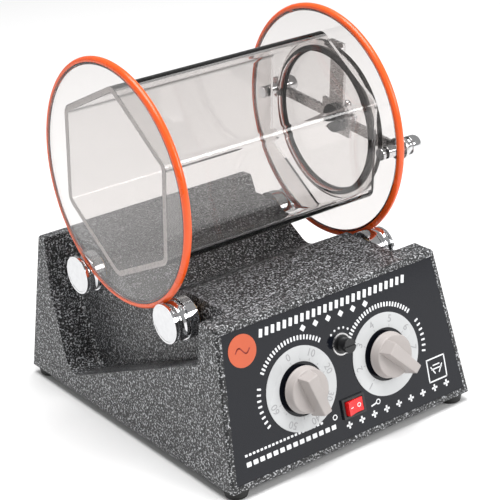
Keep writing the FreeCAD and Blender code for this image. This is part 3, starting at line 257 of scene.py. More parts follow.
def soften(piece, width, segments=3, sharper_than=35):
    """Round a piece's sharp edges and shade it smooth up to that angle."""
    take(piece)
    rounding = piece.modifiers.new("rounding", "BEVEL")
    rounding.width = width
    rounding.segments = segments
    rounding.limit_method = "ANGLE"
    rounding.angle_limit = math.radians(sharper_than)
    rounding.use_clamp_overlap = True
    bpy.ops.object.modifier_apply(modifier="rounding")
    bpy.ops.object.shade_smooth_by_angle(angle=math.radians(sharper_than))
    flat = piece.modifiers.new("flat", "WEIGHTED_NORMAL")
    flat.keep_sharp = True
    bpy.ops.object.modifier_apply(modifier="flat")
    return piece


def re_edged(name, node, width, segments=2, sharper_than=40):
    """A copy of a CAD node with its sharp edges rounded."""
    return soften(copied(name, node), width, segments, sharper_than)


def settle(piece, matrix):
    """Put a piece in its place, with the place in its mesh."""
    piece.data.transform(matrix)
    piece.data.update()
    return piece


def again(piece, name, matrix):
    """Another of the same, with its own mesh, moved from where the first one lies."""
    other = piece.copy()
    other.data = piece.data.copy()
    other.name = name
    other.data.name = name
    bpy.context.collection.objects.link(other)
    other.data.transform(matrix)
    return other


def joined(name, pieces):
    """Join pieces into the first of them."""
    nothing_selected()
    for piece in pieces:
        piece.select_set(True)
    bpy.context.view_layer.objects.active = pieces[0]
    if len(pieces) > 1:
        bpy.ops.object.join()
    return named(name)


def give(piece, material, body, slot, *nodes):
    """Finish a piece, let it ride on its body and stand for its CAD nodes."""
    piece.data.materials.clear()
    piece.data.materials.append(material)
    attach(piece, body)
    if nodes:
        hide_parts(*nodes)
    return piece


def bar(name, long, wide, tall, corner=0.0):
    """A flat bar lying on Z, its upright corners rounded."""
    nothing_selected()
    bpy.ops.mesh.primitive_plane_add(size=1)
    piece = named(name)
    bpy.ops.object.mode_set(mode="EDIT")
    bpy.ops.mesh.select_all(action="SELECT")
    bpy.ops.transform.resize(value=(long, wide, 1))
    if corner:
        bpy.ops.mesh.bevel(offset=corner, segments=4, affect="VERTICES")
    bpy.ops.mesh.extrude_region_move(TRANSFORM_OT_translate={"value": (0, 0, tall)})
    bpy.ops.mesh.select_all(action="SELECT")
    bpy.ops.mesh.normals_make_consistent(inside=False)
    bpy.ops.object.mode_set(mode="OBJECT")
    return piece


def stamped(name, sample, places):
    """Copies of one mark at many places, joined into one print."""
    copies = [again(sample, name + "_mark", matrix) for matrix in places]
    bpy.data.objects.remove(sample)
    return joined(name, copies)


def written(name, text, height, thickness):
    """A number as a thin print, centred on its place."""
    nothing_selected()
    bpy.ops.object.text_add()
    piece = bpy.context.object
    piece.data.body = text
    piece.data.size = height * 1.4
    piece.data.align_x = "CENTER"
    piece.data.align_y = "CENTER"
    piece.data.extrude = thickness / 2
    piece.data.resolution_u = 3
    bpy.ops.object.convert(target="MESH")
    return named(name)


# ------------------------------------------------------------------ materials
def shader(name, colour, roughness, metallic=0.0, **sockets):
    """A new material with its shader's constants set, its node tree and its shader."""
    material = bpy.data.materials.new(name)
    material.use_nodes = True
    tree = material.node_tree
    principled = tree.nodes["Principled BSDF"]
    principled.inputs["Base Color"].default_value = (*colour, 1)
    principled.inputs["Roughness"].default_value = roughness
    principled.inputs["Metallic"].default_value = metallic
    for socket, value in sockets.items():
        principled.inputs[socket.replace("_", " ")].default_value = value
    return material, tree, principled


def mapped(tree, scale=(1, 1, 1)):
    """Object coordinates, stretched where a finish runs one way."""
    coordinates = tree.nodes.new("ShaderNodeTexCoord")
    mapping = tree.nodes.new("ShaderNodeMapping")
    mapping.inputs["Scale"].default_value = scale
    tree.links.new(coordinates.outputs["Object"], mapping.inputs["Vector"])
    return mapping.outputs["Vector"]


def noise(tree, vector, scale, detail=2.0, roughness=0.5):
    texture = tree.nodes.new("ShaderNodeTexNoise")
    texture.inputs["Scale"].default_value = scale
    texture.inputs["Detail"].default_value = detail
    texture.inputs["Roughness"].default_value = roughness
    tree.links.new(vector, texture.inputs["Vector"])
    return texture.outputs["Fac"]


def ramp(tree, value, stops):
    """A colour ramp: stops are (position, colour or grey)."""
    node = tree.nodes.new("ShaderNodeValToRGB")
    elements = node.color_ramp.elements
    while len(elements) < len(stops):
        elements.new(0.5)
    for element, (position, colour) in zip(elements, stops):
        element.position = position
        element.color = (*colour, 1) if hasattr(colour, "__len__") else (colour, colour, colour, 1)
    tree.links.new(value, node.inputs["Fac"])
    return node.outputs["Color"]


def bump(tree, principled, height, strength, distance):
    node = tree.nodes.new("ShaderNodeBump")
    node.inputs["Strength"].default_value = strength
    node.inputs["Distance"].default_value = distance
    tree.links.new(height, node.inputs["Height"])
    tree.links.new(node.outputs["Normal"], principled.inputs["Normal"])


def finish(name, make):
    """One material of each name, made the first time it is asked for."""
    return bpy.data.materials.get(name) or make(name)


def hammered_paint(name):
    """Black paint with silver flecks, dried into small dimples."""
    ground, fleck = tuple(colours().paint_ground), tuple(colours().paint_fleck)
    material, tree, principled = shader(name, ground, 0.34)
    vector = mapped(tree)
    flecks = noise(tree, vector, 680, 2.5, 0.65)
    stops = [(0.49, ground), (0.56, tuple(c * 0.18 for c in fleck)), (0.66, fleck)]
    tree.links.new(ramp(tree, flecks, stops), principled.inputs["Base Color"])
    tree.links.new(ramp(tree, flecks, [(0.4, 0.45), (0.65, 0.26)]), principled.inputs["Roughness"])
    bump(tree, principled, flecks, 0.4, 0.0005)
    return material


def moulded(colour, roughness, grain=900, depth=0.12, **sockets):
    """Moulded plastic, sheet or rubber: a fine grain and slightly uneven gloss."""
    def make(name):
        material, tree, principled = shader(name, colour, roughness, 0.0, **sockets)
        vector = mapped(tree)
        broad = noise(tree, vector, 22, 3)
        darker = tuple(c * 0.93 for c in colour)
        lighter = tuple(min(1, c * 1.05) for c in colour)
        tree.links.new(ramp(tree, broad, [(0.35, darker), (0.65, lighter)]), principled.inputs["Base Color"])
        gloss = [(0.3, roughness * 0.85), (0.7, roughness * 1.15)]
        tree.links.new(ramp(tree, broad, gloss), principled.inputs["Roughness"])
        bump(tree, principled, noise(tree, vector, grain, 3), depth, 0.0001)
        return material
    return make


def bare_metal(colour, roughness, stretch=(1, 1, 1), scale=300, depth=0.04):
    """Bare metal with the fine lines its working leaves."""
    def make(name):
        material, tree, principled = shader(name, colour, roughness, 1.0)
        vector = mapped(tree, stretch)
        lines = noise(tree, vector, scale, 4)
        darker = tuple(c * 0.92 for c in colour)
        tree.links.new(ramp(tree, lines, [(0.3, darker), (0.7, colour)]), principled.inputs["Base Color"])
        gloss = [(0.3, roughness * 0.7), (0.7, roughness * 1.3)]
        tree.links.new(ramp(tree, lines, gloss), principled.inputs["Roughness"])
        bump(tree, principled, lines, depth, 0.00003)
        return material
    return make


def clear_acrylic(name):
    """Clear polished acrylic with the faintest polishing haze."""
    material, tree, principled = shader(
        name, (0.80, 0.778, 0.768), 0.0, 0.0, Transmission_Weight=1.0, IOR=1.49)
    haze = noise(tree, mapped(tree), 14, 3)
    tree.links.new(ramp(tree, haze, [(0.55, 0.0), (0.85, 0.02)]), principled.inputs["Roughness"])
    return material


def bonded_edge(name):
    """Milky bond where the tube is welded to a disc, with a few small bubbles."""
    material, tree, principled = shader(
        name, (1.0, 0.96, 0.95), 0.5, 0.0, Transmission_Weight=0.12, IOR=1.45)
    bubbles = noise(tree, mapped(tree), 450, 3)
    tree.links.new(ramp(tree, bubbles, [(0.4, 0.25), (0.7, 0.6)]), principled.inputs["Roughness"])
    bump(tree, principled, bubbles, 0.2, 0.0002)
    return material


def urethane(name):
    """Orange drive ring: a little light comes through it."""
    colour = tuple(colours().ring)
    material, tree, principled = shader(
        name, colour, 0.3, 0.0, Subsurface_Weight=0.15, Subsurface_Scale=0.003, Coat_Weight=0.2)
    vector = mapped(tree)
    broad = noise(tree, vector, 30, 2)
    darker = tuple(c * 0.9 for c in colour)
    tree.links.new(ramp(tree, broad, [(0.35, darker), (0.65, colour)]), principled.inputs["Base Color"])
    tree.links.new(ramp(tree, broad, [(0.3, 0.22), (0.7, 0.38)]), principled.inputs["Roughness"])
    bump(tree, principled, noise(tree, vector, 700, 2), 0.08, 0.0001)
    return material


def acrylic():
    return finish("clear_acrylic", clear_acrylic)


def chrome():
    return finish("polished_chrome", bare_metal((0.70, 0.705, 0.715), 0.07, depth=0.01))


def steel():
    return finish("brushed_steel", bare_metal((0.62, 0.61, 0.61), 0.28, (1, 1, 6), 260))


def black_plastic():
    return finish("moulded_black", moulded((0.012, 0.012, 0.013), 0.32))


def black_rubber():
    return finish("moulded_rubber", moulded((0.010, 0.010, 0.010), 0.62, 500, 0.3))


def printed():
    return finish("panel_print", moulded(tuple(colours().print_white), 0.35, 1200, 0.05))


def dress(material, *names):
    """Give CAD nodes their finish."""
    for name in names:
        node = NODES[name]
        node.data.materials.clear()
        node.data.materials.append(material)


# ------------------------------------------------------------------ pieces
class TUMBLER_OT_housing(bpy.types.Operator):
    """Paint the housing and finish its base plate, feet and screws"""
    bl_idname = "tumbler.housing"
    bl_label = "Housing"

    def execute(self, context):
        dress(finish("hammered_paint", hammered_paint), "housing_shell")
        dress(finish("plate_paint", moulded((0.02, 0.02, 0.022), 0.5)), "base_plate")
        feet = re_edged("feet", "rubber_feet", 1.2 * MM, 3, 35)
        give(feet, black_rubber(), "housing", "black_rubber", "rubber_feet")
        dress(steel(), "foot_screws")
        return {"FINISHED"}


class TUMBLER_OT_drive_rings(bpy.types.Operator):
    """Model the two orange drive rings, each with the small weld of its joint"""
    bl_idname = "tumbler.drive_rings"
    bl_label = "Drive rings"

    def execute(self, context):
        for node, turn in (("drive_ring_closed_end", 40), ("drive_ring_lid_end", 160)):
            outer, section = radius(node), length(node) / 2
            nothing_selected()
            bpy.ops.mesh.primitive_torus_add(
                major_radius=outer - section, minor_radius=section, major_segments=160, minor_segments=24)
            ring = named(node + "_band")
            bpy.ops.object.mode_set(mode="EDIT")
            bpy.ops.mesh.select_all(action="DESELECT")
            bpy.ops.object.mode_set(mode="OBJECT")
            weld, half_weld = math.radians(turn), section / 2
            for vertex in ring.data.vertices:
                away = abs(math.atan2(vertex.co.y, vertex.co.x) - weld) * outer
                vertex.select = away < half_weld
            bpy.ops.object.mode_set(mode="EDIT")
            bpy.ops.transform.shrink_fatten(value=0.12 * MM)
            bpy.ops.object.mode_set(mode="OBJECT")
            bpy.ops.object.shade_smooth()
            settle(ring, standing(middle(node), RIGHT, -TOP))
            give(ring, finish("ring_urethane", urethane), "drum", "orange_urethane", node)
        return {"FINISHED"}


class TUMBLER_OT_barrel(bpy.types.Operator):
    """Make the clear barrel: the tube, its two end discs and the bonds between them"""
    bl_idname = "tumbler.barrel"
    bl_label = "Barrel"

    def execute(self, context):
        tube_walls = copied("tube_walls", "barrel_tube")
        gap = 0.2 * MM
        shorter = 1 - 2 * gap / length("barrel_tube")
        bpy.ops.object.mode_set(mode="EDIT")
        bpy.ops.mesh.select_all(action="SELECT")
        bpy.ops.transform.resize(value=(shorter, 1, 1), center_override=DRUM)
        bpy.ops.object.mode_set(mode="OBJECT")
        bpy.ops.object.shade_smooth_by_angle(angle=math.radians(20))
        give(tube_walls, acrylic(), "drum", "acrylic", "barrel_tube")
        for node in ("end_disc_closed", "end_disc_open"):
            give(re_edged(node + "_sheet", node, 0.5 * MM), acrylic(), "drum", "acrylic", node)
        self.bond("bond_closed_end", low("barrel_tube").x, 1)
        self.bond("bond_lid_end", high("barrel_tube").x, -1)
        return {"FINISHED"}

    def bond(self, name, end, inward):
        """A thin hexagonal frame, nearly as wide as the tube's wall, in the gap at its end."""
        rim = [v.co for v in NODES["barrel_tube"].data.vertices if abs(v.co.x - end) < 0.01 * MM]
        reach = [math.hypot(c.y - DRUM.y, c.z - DRUM.z) for c in rim]
        far = max(reach)
        sharp_corner = far * 1.015  # the rim's corners are rounded, and the frame's are still sharp
        corner_round = 5.5 * MM
        edge_gap = 0.4 * MM
        width = 4.4 * MM
        thick = 0.1 * MM
        corner = rim[reach.index(far)]
        angle = math.atan2(corner.z - DRUM.z, corner.y - DRUM.y) + math.radians(30)
        nothing_selected()
        bpy.ops.mesh.primitive_circle_add(vertices=6, radius=sharp_corner, fill_type="NGON")
        piece = named(name)
        bpy.ops.object.mode_set(mode="EDIT")
        bpy.ops.mesh.select_all(action="SELECT")
        bpy.ops.mesh.bevel(offset=corner_round, segments=6, affect="VERTICES")
        bpy.ops.mesh.select_all(action="SELECT")
        bpy.ops.mesh.inset(thickness=edge_gap)
        bpy.ops.mesh.select_all(action="INVERT")
        bpy.ops.mesh.delete(type="FACE")
        bpy.ops.mesh.select_all(action="SELECT")
        bpy.ops.mesh.inset(thickness=width)
        bpy.ops.mesh.delete(type="FACE")
        bpy.ops.mesh.select_all(action="SELECT")
        bpy.ops.mesh.extrude_region_move(TRANSFORM_OT_translate={"value": (0, 0, thick)})
        bpy.ops.mesh.select_all(action="SELECT")
        bpy.ops.mesh.normals_make_consistent(inside=False)
        bpy.ops.object.mode_set(mode="OBJECT")
        side = BACK * math.cos(angle) + TOP * math.sin(angle)
        place = Vector((end, DRUM.y, DRUM.z)) + RIGHT * inward * thick / 2
        settle(piece, standing(place, RIGHT * inward, side))
        give(piece, finish("bonded_edge", bonded_edge), "drum", "acrylic")


class TUMBLER_OT_rollers(bpy.types.Operator):
    """Turn the four chrome rollers, with their collars, grooves and closed outer faces"""
    bl_idname = "tumbler.rollers"
    bl_label = "Rollers"

    def execute(self, context):
        for pair in ("front", "rear"):
            for end, out, ring in (("left", -1, "drive_ring_closed_end"), ("right", 1, "drive_ring_lid_end")):
                self.roller(f"roller_{pair}_{end}", out, ring, f"{pair}_shaft", f"{pair}_rollers")
        dress(steel(), "front_shaft", "rear_shaft", "front_roller_set_screws", "rear_roller_set_screws",
              "front_shaft_clips", "rear_shaft_clips")
        dress(finish("bearing_bronze", bare_metal((0.60, 0.40, 0.20), 0.3)), "bearing_front_left",
              "bearing_front_right", "bearing_rear_left", "bearing_rear_right")
        return {"FINISHED"}

    def roller(self, node, out, ring, shaft, body):
        """A roller with a collar, a neck, a groove under the drive ring and a cap with a turned line."""
        long, collar, bore = length(node), radius(node), radius(shaft)
        tread = collar - 0.8 * MM
        neck = tread - 1.4 * MM
        line = tread - 0.9 * MM
        inner = inner_end(node, out)
        run = abs(middle(ring).x - inner.x)
        half_groove = 3.4 * MM
        cap = long - 3.0 * MM
        face = long - 0.2 * MM
        plug = long - 4.0 * MM
        outline = [
            (bore, 0), (collar, 0), (collar, 8.2 * MM), (neck, 8.4 * MM), (neck, 9.4 * MM),
            (tread, 9.6 * MM), (tread, run - half_groove),
        ]
        for i in range(-3, 4):
            depth = 1.5 * MM * math.cos(i / 3 * math.pi / 2) ** 0.8
            outline.append((tread - depth, run + i * 1.1 * MM))
        outline += [
            (tread, run + half_groove), (tread, cap), (line, cap + 0.2 * MM), (line, cap + 0.7 * MM),
            (tread, cap + 0.9 * MM), (tread, long), (tread - 1.6 * MM, long), (tread - 1.8 * MM, face),
            (0, face), (0, plug), (bore, plug),
        ]
        piece = soften(spun(node + "_turned", outline, closed=True), 0.25 * MM, 2, 32)
        settle(piece, standing(inner, RIGHT * out, TOP))
        give(piece, chrome(), body, "chrome", node)


class TUMBLER_OT_clamp(bpy.types.Operator):
    """Model the lid, its gasket and the clamp: studs, yoke, thumb nuts and the centre screw's knob"""
    bl_idname = "tumbler.clamp"
    bl_label = "Lid and clamp"

    def execute(self, context):
        for name, node, width, material, body, slot in (
                ("lid_sheet", "lid_disc", 0.6 * MM, acrylic(), "lid", "acrylic"),
                ("gasket", "lid_gasket", 0.5 * MM, black_rubber(), "lid", "black_rubber"),
                ("pad", "pressure_pad", 0.6 * MM, black_rubber(), "lid", "black_rubber"),
                ("yoke", "lid_yoke", 0.6 * MM, steel(), "yoke", "steel"),
                ("studs", "clamp_studs", 0.5 * MM, chrome(), "drum", "chrome")):
            give(re_edged(name, node, width), material, body, slot, node)
        self.nut("thumb_nut_front", "nut_front")
        self.nut("thumb_nut_rear", "nut_rear")
        self.knob("clamp_knob")
        self.screw("clamp_screw")
        return {"FINISHED"}

    def nut(self, node, body):
        """A long domed nut with a waist and a plain collar."""
        long, wide = length(node), radius(node)
        bore = wide - 4.2 * MM
        collar = wide - 0.6 * MM
        waist = wide - 1.6 * MM
        dome = 5.2 * MM
        plug = long - 4.0 * MM
        outline = [
            (bore, 0), (collar - 0.6 * MM, 0), (collar, 0.6 * MM), (collar, 3.0 * MM), (waist, 3.6 * MM),
            (waist, 4.8 * MM), (wide, 5.6 * MM), (wide, long - dome),
        ]
        for i in range(1, 7):
            angle = i / 6 * math.pi / 2
            inward = (wide - bore) * (1 - math.cos(angle))
            outline.append((wide - inward, long - dome + dome * math.sin(angle)))
        outline += [(0, long), (0, plug), (bore, plug)]
        piece = soften(spun(node + "_turned", outline, closed=True, steps=64), 0.3 * MM, 2, 32)
        settle(piece, standing(inner_end(node), RIGHT, TOP))
        give(piece, chrome(), body, "chrome", node)

    def knob(self, node):
        """The centre screw's knob: a waisted hub with four round lobes."""
        thick, reach = length(node), radius(node)
        hub = spun("clamp_hub", [
            (0, 0), (reach * 0.50, 0), (reach * 0.58, thick * 0.25), (reach * 0.58, thick * 0.7),
            (reach * 0.36, thick), (0, thick)], steps=48)
        lobe = spun("clamp_lobe", [
            (0, thick * 0.12), (reach * 0.2, thick * 0.14), (reach * 0.33, thick * 0.36),
            (reach * 0.35, thick * 0.5), (reach * 0.33, thick * 0.66), (reach * 0.2, thick * 0.88),
            (0, thick * 0.9)], steps=32)
        outwards = Matrix.Translation((reach * 0.64, 0, 0))
        quarters = [Matrix.Rotation(i * math.pi / 2, 4, "Z") for i in range(4)]
        lobes = [again(lobe, "clamp_lobe", quarter @ outwards) for quarter in quarters]
        bpy.data.objects.remove(lobe)
        casting = soften(joined("clamp_knob_cast", [hub, *lobes]), 0.4 * MM, 2, 40)
        first_lobe = TOP * 0.994 - BACK * 0.11
        settle(casting, standing(inner_end(node), RIGHT, first_lobe))
        give(casting, chrome(), "clamp", "chrome", node)

    def screw(self, node):
        """The centre screw, its thread turned as plain rings."""
        long, wide = length(node), radius(node)
        pitch = 1.2 * MM
        root = wide - 0.45 * MM
        outline = [(0, 0), (wide - 0.8 * MM, 0), (wide - 0.3 * MM, 0.6 * MM)]
        crest = 1.0 * MM
        while crest + pitch < long:
            outline += [(wide, crest), (root, crest + pitch / 2)]
            crest += pitch
        outline += [(wide - 0.4 * MM, long), (0, long)]
        screw = spun("clamp_screw_thread", outline, steps=48)
        bpy.ops.object.shade_smooth_by_angle(angle=math.radians(25))
        settle(screw, standing(inner_end(node), RIGHT, TOP))
        give(screw, steel(), "clamp", "steel", node)


class TUMBLER_OT_panel_sheet(bpy.types.Operator):
    """Finish the panel, print its white marks and lay on the dials and the sticker"""
    bl_idname = "tumbler.panel_sheet"
    bl_label = "Panel, marks and dials"

    def execute(self, context):
        gloss = moulded(tuple(colours().panel), 0.10, 60, 0.015, Specular_IOR_Level=0.3)
        dress(finish("panel_gloss", gloss), "front_fascia")
        self.marks()
        self.emblem()
        first, minute = 105, 4.5
        minutes = [(str(n), first - n * minute) for n in range(0, 61, 10)]
        self.dial("timer_dial", -DIAL_SPREAD, minutes, [first - n * minute for n in range(0, 61, 5)])
        first, step = 225, 270 / 7
        speeds = [(str(n + 1), first - n * step) for n in range(8)]
        self.dial("speed_dial", DIAL_SPREAD, speeds, [angle for text, angle in speeds])
        self.sticker()
        dress(steel(), "control_nuts")
        return {"FINISHED"}

    def marks(self):
        """The white marks: leaning bars, gems, tick arcs, dashes, crosses, dots and a key."""
        crosses = []
        for level, upright in zip(row(-4, 12.4, 9, -41.8), row(-4, 12.4, 9, -41.8, 90)):
            crosses += [level, upright]
        dots = [round_place(2 * MM, 20.7 * MM, 12.5 * MM, 130 - i * 20) for i in range(5)]
        shapes = [
            self.print_row("title", 3.0, 6.2, 0.3, row(-67, 5.45, 26, 51.5, -14)),
            self.print_row("gems", 4.0, 4.0, 0.4, row(-30, 12, 6, 43.6, 45)),
            self.print_row("arc", 3.6, 1.5, 0.4, self.arcs(-DIAL_SPREAD, ((52, 148, 4.4), (162, 208, 6.5)))),
            self.print_row("arc", 3.6, 1.5, 0.4, self.arcs(DIAL_SPREAD, ((42, 160, 4.2), (-14, 30, 6.5)))),
            self.print_row("dash", 4.2, 3.6, 0.5, row(-98, 6.1, 14, -38.5)),
            self.print_row("small", 2.2, 1.8, 0.3, row(-99, 3.5, 21, -31.6)),
            self.print_row("cross", 5.6, 1.6, 0.3, crosses),
            self.print_row("dot", 1.7, 1.7, 0.6, dots),
        ]
        tall = sizes().print_height
        key = bar("key", 5.0 * MM, 1.2 * MM, tall, 0.3 * MM)
        shapes.append(settle(key, on_panel(21.5 * MM, -34.5 * MM, 0, 12)))
        outer, inner = 2.2 * MM, 1.4 * MM
        for sideways, upwards in ((26.2, -33.5), (-16.0, -31.5)):
            outline = [(inner, 0), (outer, 0), (outer, tall), (inner, tall)]
            ring = spun("key_ring", outline, closed=True, steps=32)
            shapes.append(settle(ring, on_panel(sideways * MM, upwards * MM)))
        give(joined("panel_marks", shapes), printed(), "housing", "white_print")

    def print_row(self, name, long, wide, corner, places):
        """One mark, its sizes in millimetres, printed at many places."""
        return stamped(name, bar(name, long * MM, wide * MM, sizes().print_height, corner * MM), places)

    def arcs(self, sideways, spans):
        """Places of the ticks round a dial: each span is its first and last angle and its step."""
        reach = 38.4 * MM
        places = []
        for angle, last, step in spans:
            while angle <= last:
                places.append(round_place(sideways, 0, reach, angle, 0, angle))
                angle += step
        return places

    def emblem(self):
        """A plain square frame round a faceted stone."""
        tall = sizes().print_height
        centre, height = 88, -27.5
        shapes = []
        for sideways, upwards, turn in ((0, 9, 0), (0, -9, 0), (-9, 0, 90), (9, 0, 90)):
            side = bar("emblem_side", 19 * MM, 1.1 * MM, tall)
            place = on_panel((centre + sideways) * MM, (height + upwards) * MM, 0, turn)
            shapes.append(settle(side, place))
        for sideways, upwards, long, turn in ((0, 4.4, 7, 0), (-3.9, 0.6, 7.6, -58), (3.9, 0.6, 7.6, 58),
                                              (0, 1.4, 11, 0)):
            facet = bar("emblem_stone", long * MM, 1.0 * MM, tall)
            place = on_panel((centre + sideways) * MM, (height - 1 + upwards) * MM, 0, turn)
            shapes.append(settle(facet, place))
        give(joined("panel_emblem", shapes), printed(), "housing", "white_print")

    def dial(self, node, sideways, numbers, ticks):
        """A white dial plate with a bevelled rim, pale grey numbers and fine ticks at their angles."""
        white = finish("dial_white", moulded((0.56, 0.57, 0.575), 0.28, 1200, 0.05))
        give(re_edged(node + "_plate", node, 0.3 * MM), white, "housing", "white_print", node)
        tall = sizes().print_height
        lift = self.thickness(node)
        number_reach, tick_reach = 27.2 * MM, 22.3 * MM
        shapes = []
        for text, angle in numbers:
            number = written("number", text, sizes().number_height, tall)
            place = round_place(sideways, 0, number_reach, angle, lift + tall / 2, angle - 90)
            shapes.append(settle(number, place))
        spots = [round_place(sideways, 0, tick_reach, angle, lift, angle) for angle in ticks]
        shapes.append(self.print_row("tick", 1.8, 0.4, 0, spots))
        grey = finish("dial_print", moulded((0.34, 0.34, 0.35), 0.4, 1200, 0.05))
        give(joined(node + "_print", shapes), grey, "housing", "white_print")

    def thickness(self, node):
        """How far a node stands up from the panel's face."""
        return max((v.co - PANEL).dot(OUT) for v in NODES[node].data.vertices) - FACE

    def sticker(self):
        """A round orange sticker with a wave for alternating current."""
        node = "supply_sticker"
        vinyl = finish("sticker_vinyl", moulded(tuple(colours().label), 0.38, 800, 0.05))
        give(re_edged("sticker", node, 0.1 * MM), vinyl, "housing", "orange_label", node)
        centre = middle(node) - PANEL
        lift = self.thickness(node)
        long, swing = 12, 2.6
        count = 18
        shapes = []
        for i in range(count):
            part = i / (count - 1)
            along_wave = (part - 0.5) * long * MM
            height = math.sin(part * math.tau) * swing * MM
            slope = math.cos(part * math.tau) * swing / long * math.tau
            piece = bar("wave", 1.5 * MM, 1.0 * MM, sizes().print_height, 0.3 * MM)
            turn = math.degrees(math.atan(slope))
            place = on_panel(centre.x + along_wave, centre.dot(UP) + height, lift, turn)
            shapes.append(settle(piece, place))
        ink = finish("sticker_ink", moulded((0.30, 0.03, 0.02), 0.5, 900, 0.05))
        give(joined("sticker_wave", shapes), ink, "housing", "orange_label")


class TUMBLER_OT_knobs(bpy.types.Operator):
    """Mould the two pointer knobs"""
    bl_idname = "tumbler.knobs"
    bl_label = "Knobs"

    def execute(self, context):
        self.knob("timer_knob", "timer_turn", "timer")
        self.knob("speed_knob", "speed_turn", "speed")
        dress(steel(), "timer_spindle", "speed_spindle")
        return {"FINISHED"}

    def knob(self, node, joint, body):
        """A round foot with a tapered grip across it, which points where the CAD knob points."""
        spread = [v.co - pivot(joint) for v in NODES[node].data.vertices]
        heights = [c.dot(OUT) for c in spread]
        flat = [(c.dot(RIGHT), c.dot(UP)) for c in spread]
        foot, top = min(heights), max(heights)
        reach = max(math.hypot(*point) for point in flat)
        tips = [point for point in flat if math.hypot(*point) > reach - 0.3 * MM]
        angle = math.atan2(sum(y for x, y in tips), sum(x for x, y in tips))
        skirt = max(math.hypot(*point) for point, rise in zip(flat, heights) if rise < foot + 0.5 * MM)
        shoulder = foot + (top - foot) * 0.46
        round_foot = spun(node + "_round", [
            (0, foot), (skirt, foot), (skirt, foot + 1.6 * MM), (skirt - 0.7 * MM, foot + 2.1 * MM),
            (skirt - 1.2 * MM, shoulder - 1.2 * MM), (skirt - 2.4 * MM, shoulder), (0, shoulder - 0.6 * MM)])
        grip = self.grip(node + "_grip", reach, skirt * 0.9, foot + 3 * MM, top)
        soften(grip, sizes().knob_round, 3, 25)
        knob = take(joined(node + "_moulded", [round_foot, grip]))
        bpy.ops.object.shade_smooth_by_angle(angle=math.radians(38))
        soften(knob, sizes().edge_round, 2, 50)
        settle(knob, standing(pivot(joint), OUT) @ Matrix.Rotation(angle, 4, "Z"))
        plastic = finish("knob_plastic", moulded(tuple(colours().knob), 0.40, 700, 0.10))
        give(knob, plastic, body, "knob_grey", node)

    def grip(self, name, nose, tail, foot, top):
        """A bar from tail to nose along X, narrower at its nose and its top, and waisted at its foot."""
        long, tall = nose + tail, top - foot
        nothing_selected()
        bpy.ops.mesh.primitive_cube_add(size=1)
        grip = named(name)
        bpy.ops.object.mode_set(mode="EDIT")
        bpy.ops.mesh.select_all(action="SELECT")
        bpy.ops.transform.resize(value=(long, 13.8 * MM, tall))
        bpy.ops.transform.translate(value=((nose - tail) / 2, 0, (top + foot) / 2))
        bpy.ops.mesh.subdivide(number_cuts=5)
        bpy.ops.object.mode_set(mode="OBJECT")
        for vertex in grip.data.vertices:
            run = (vertex.co.x + tail) / long
            rise = (vertex.co.z - foot) / tall
            narrow = 1.0 - 0.22 * run - 0.26 * rise
            waist = 1 - 0.12 * math.sin(math.pi * run) * (1 - rise)
            vertex.co.y *= narrow * waist
            if run > 0.99:
                vertex.co.x -= 1.4 * MM + 1.4 * MM * rise
            if run < 0.01:
                vertex.co.x += 3.0 * MM * rise
        return grip


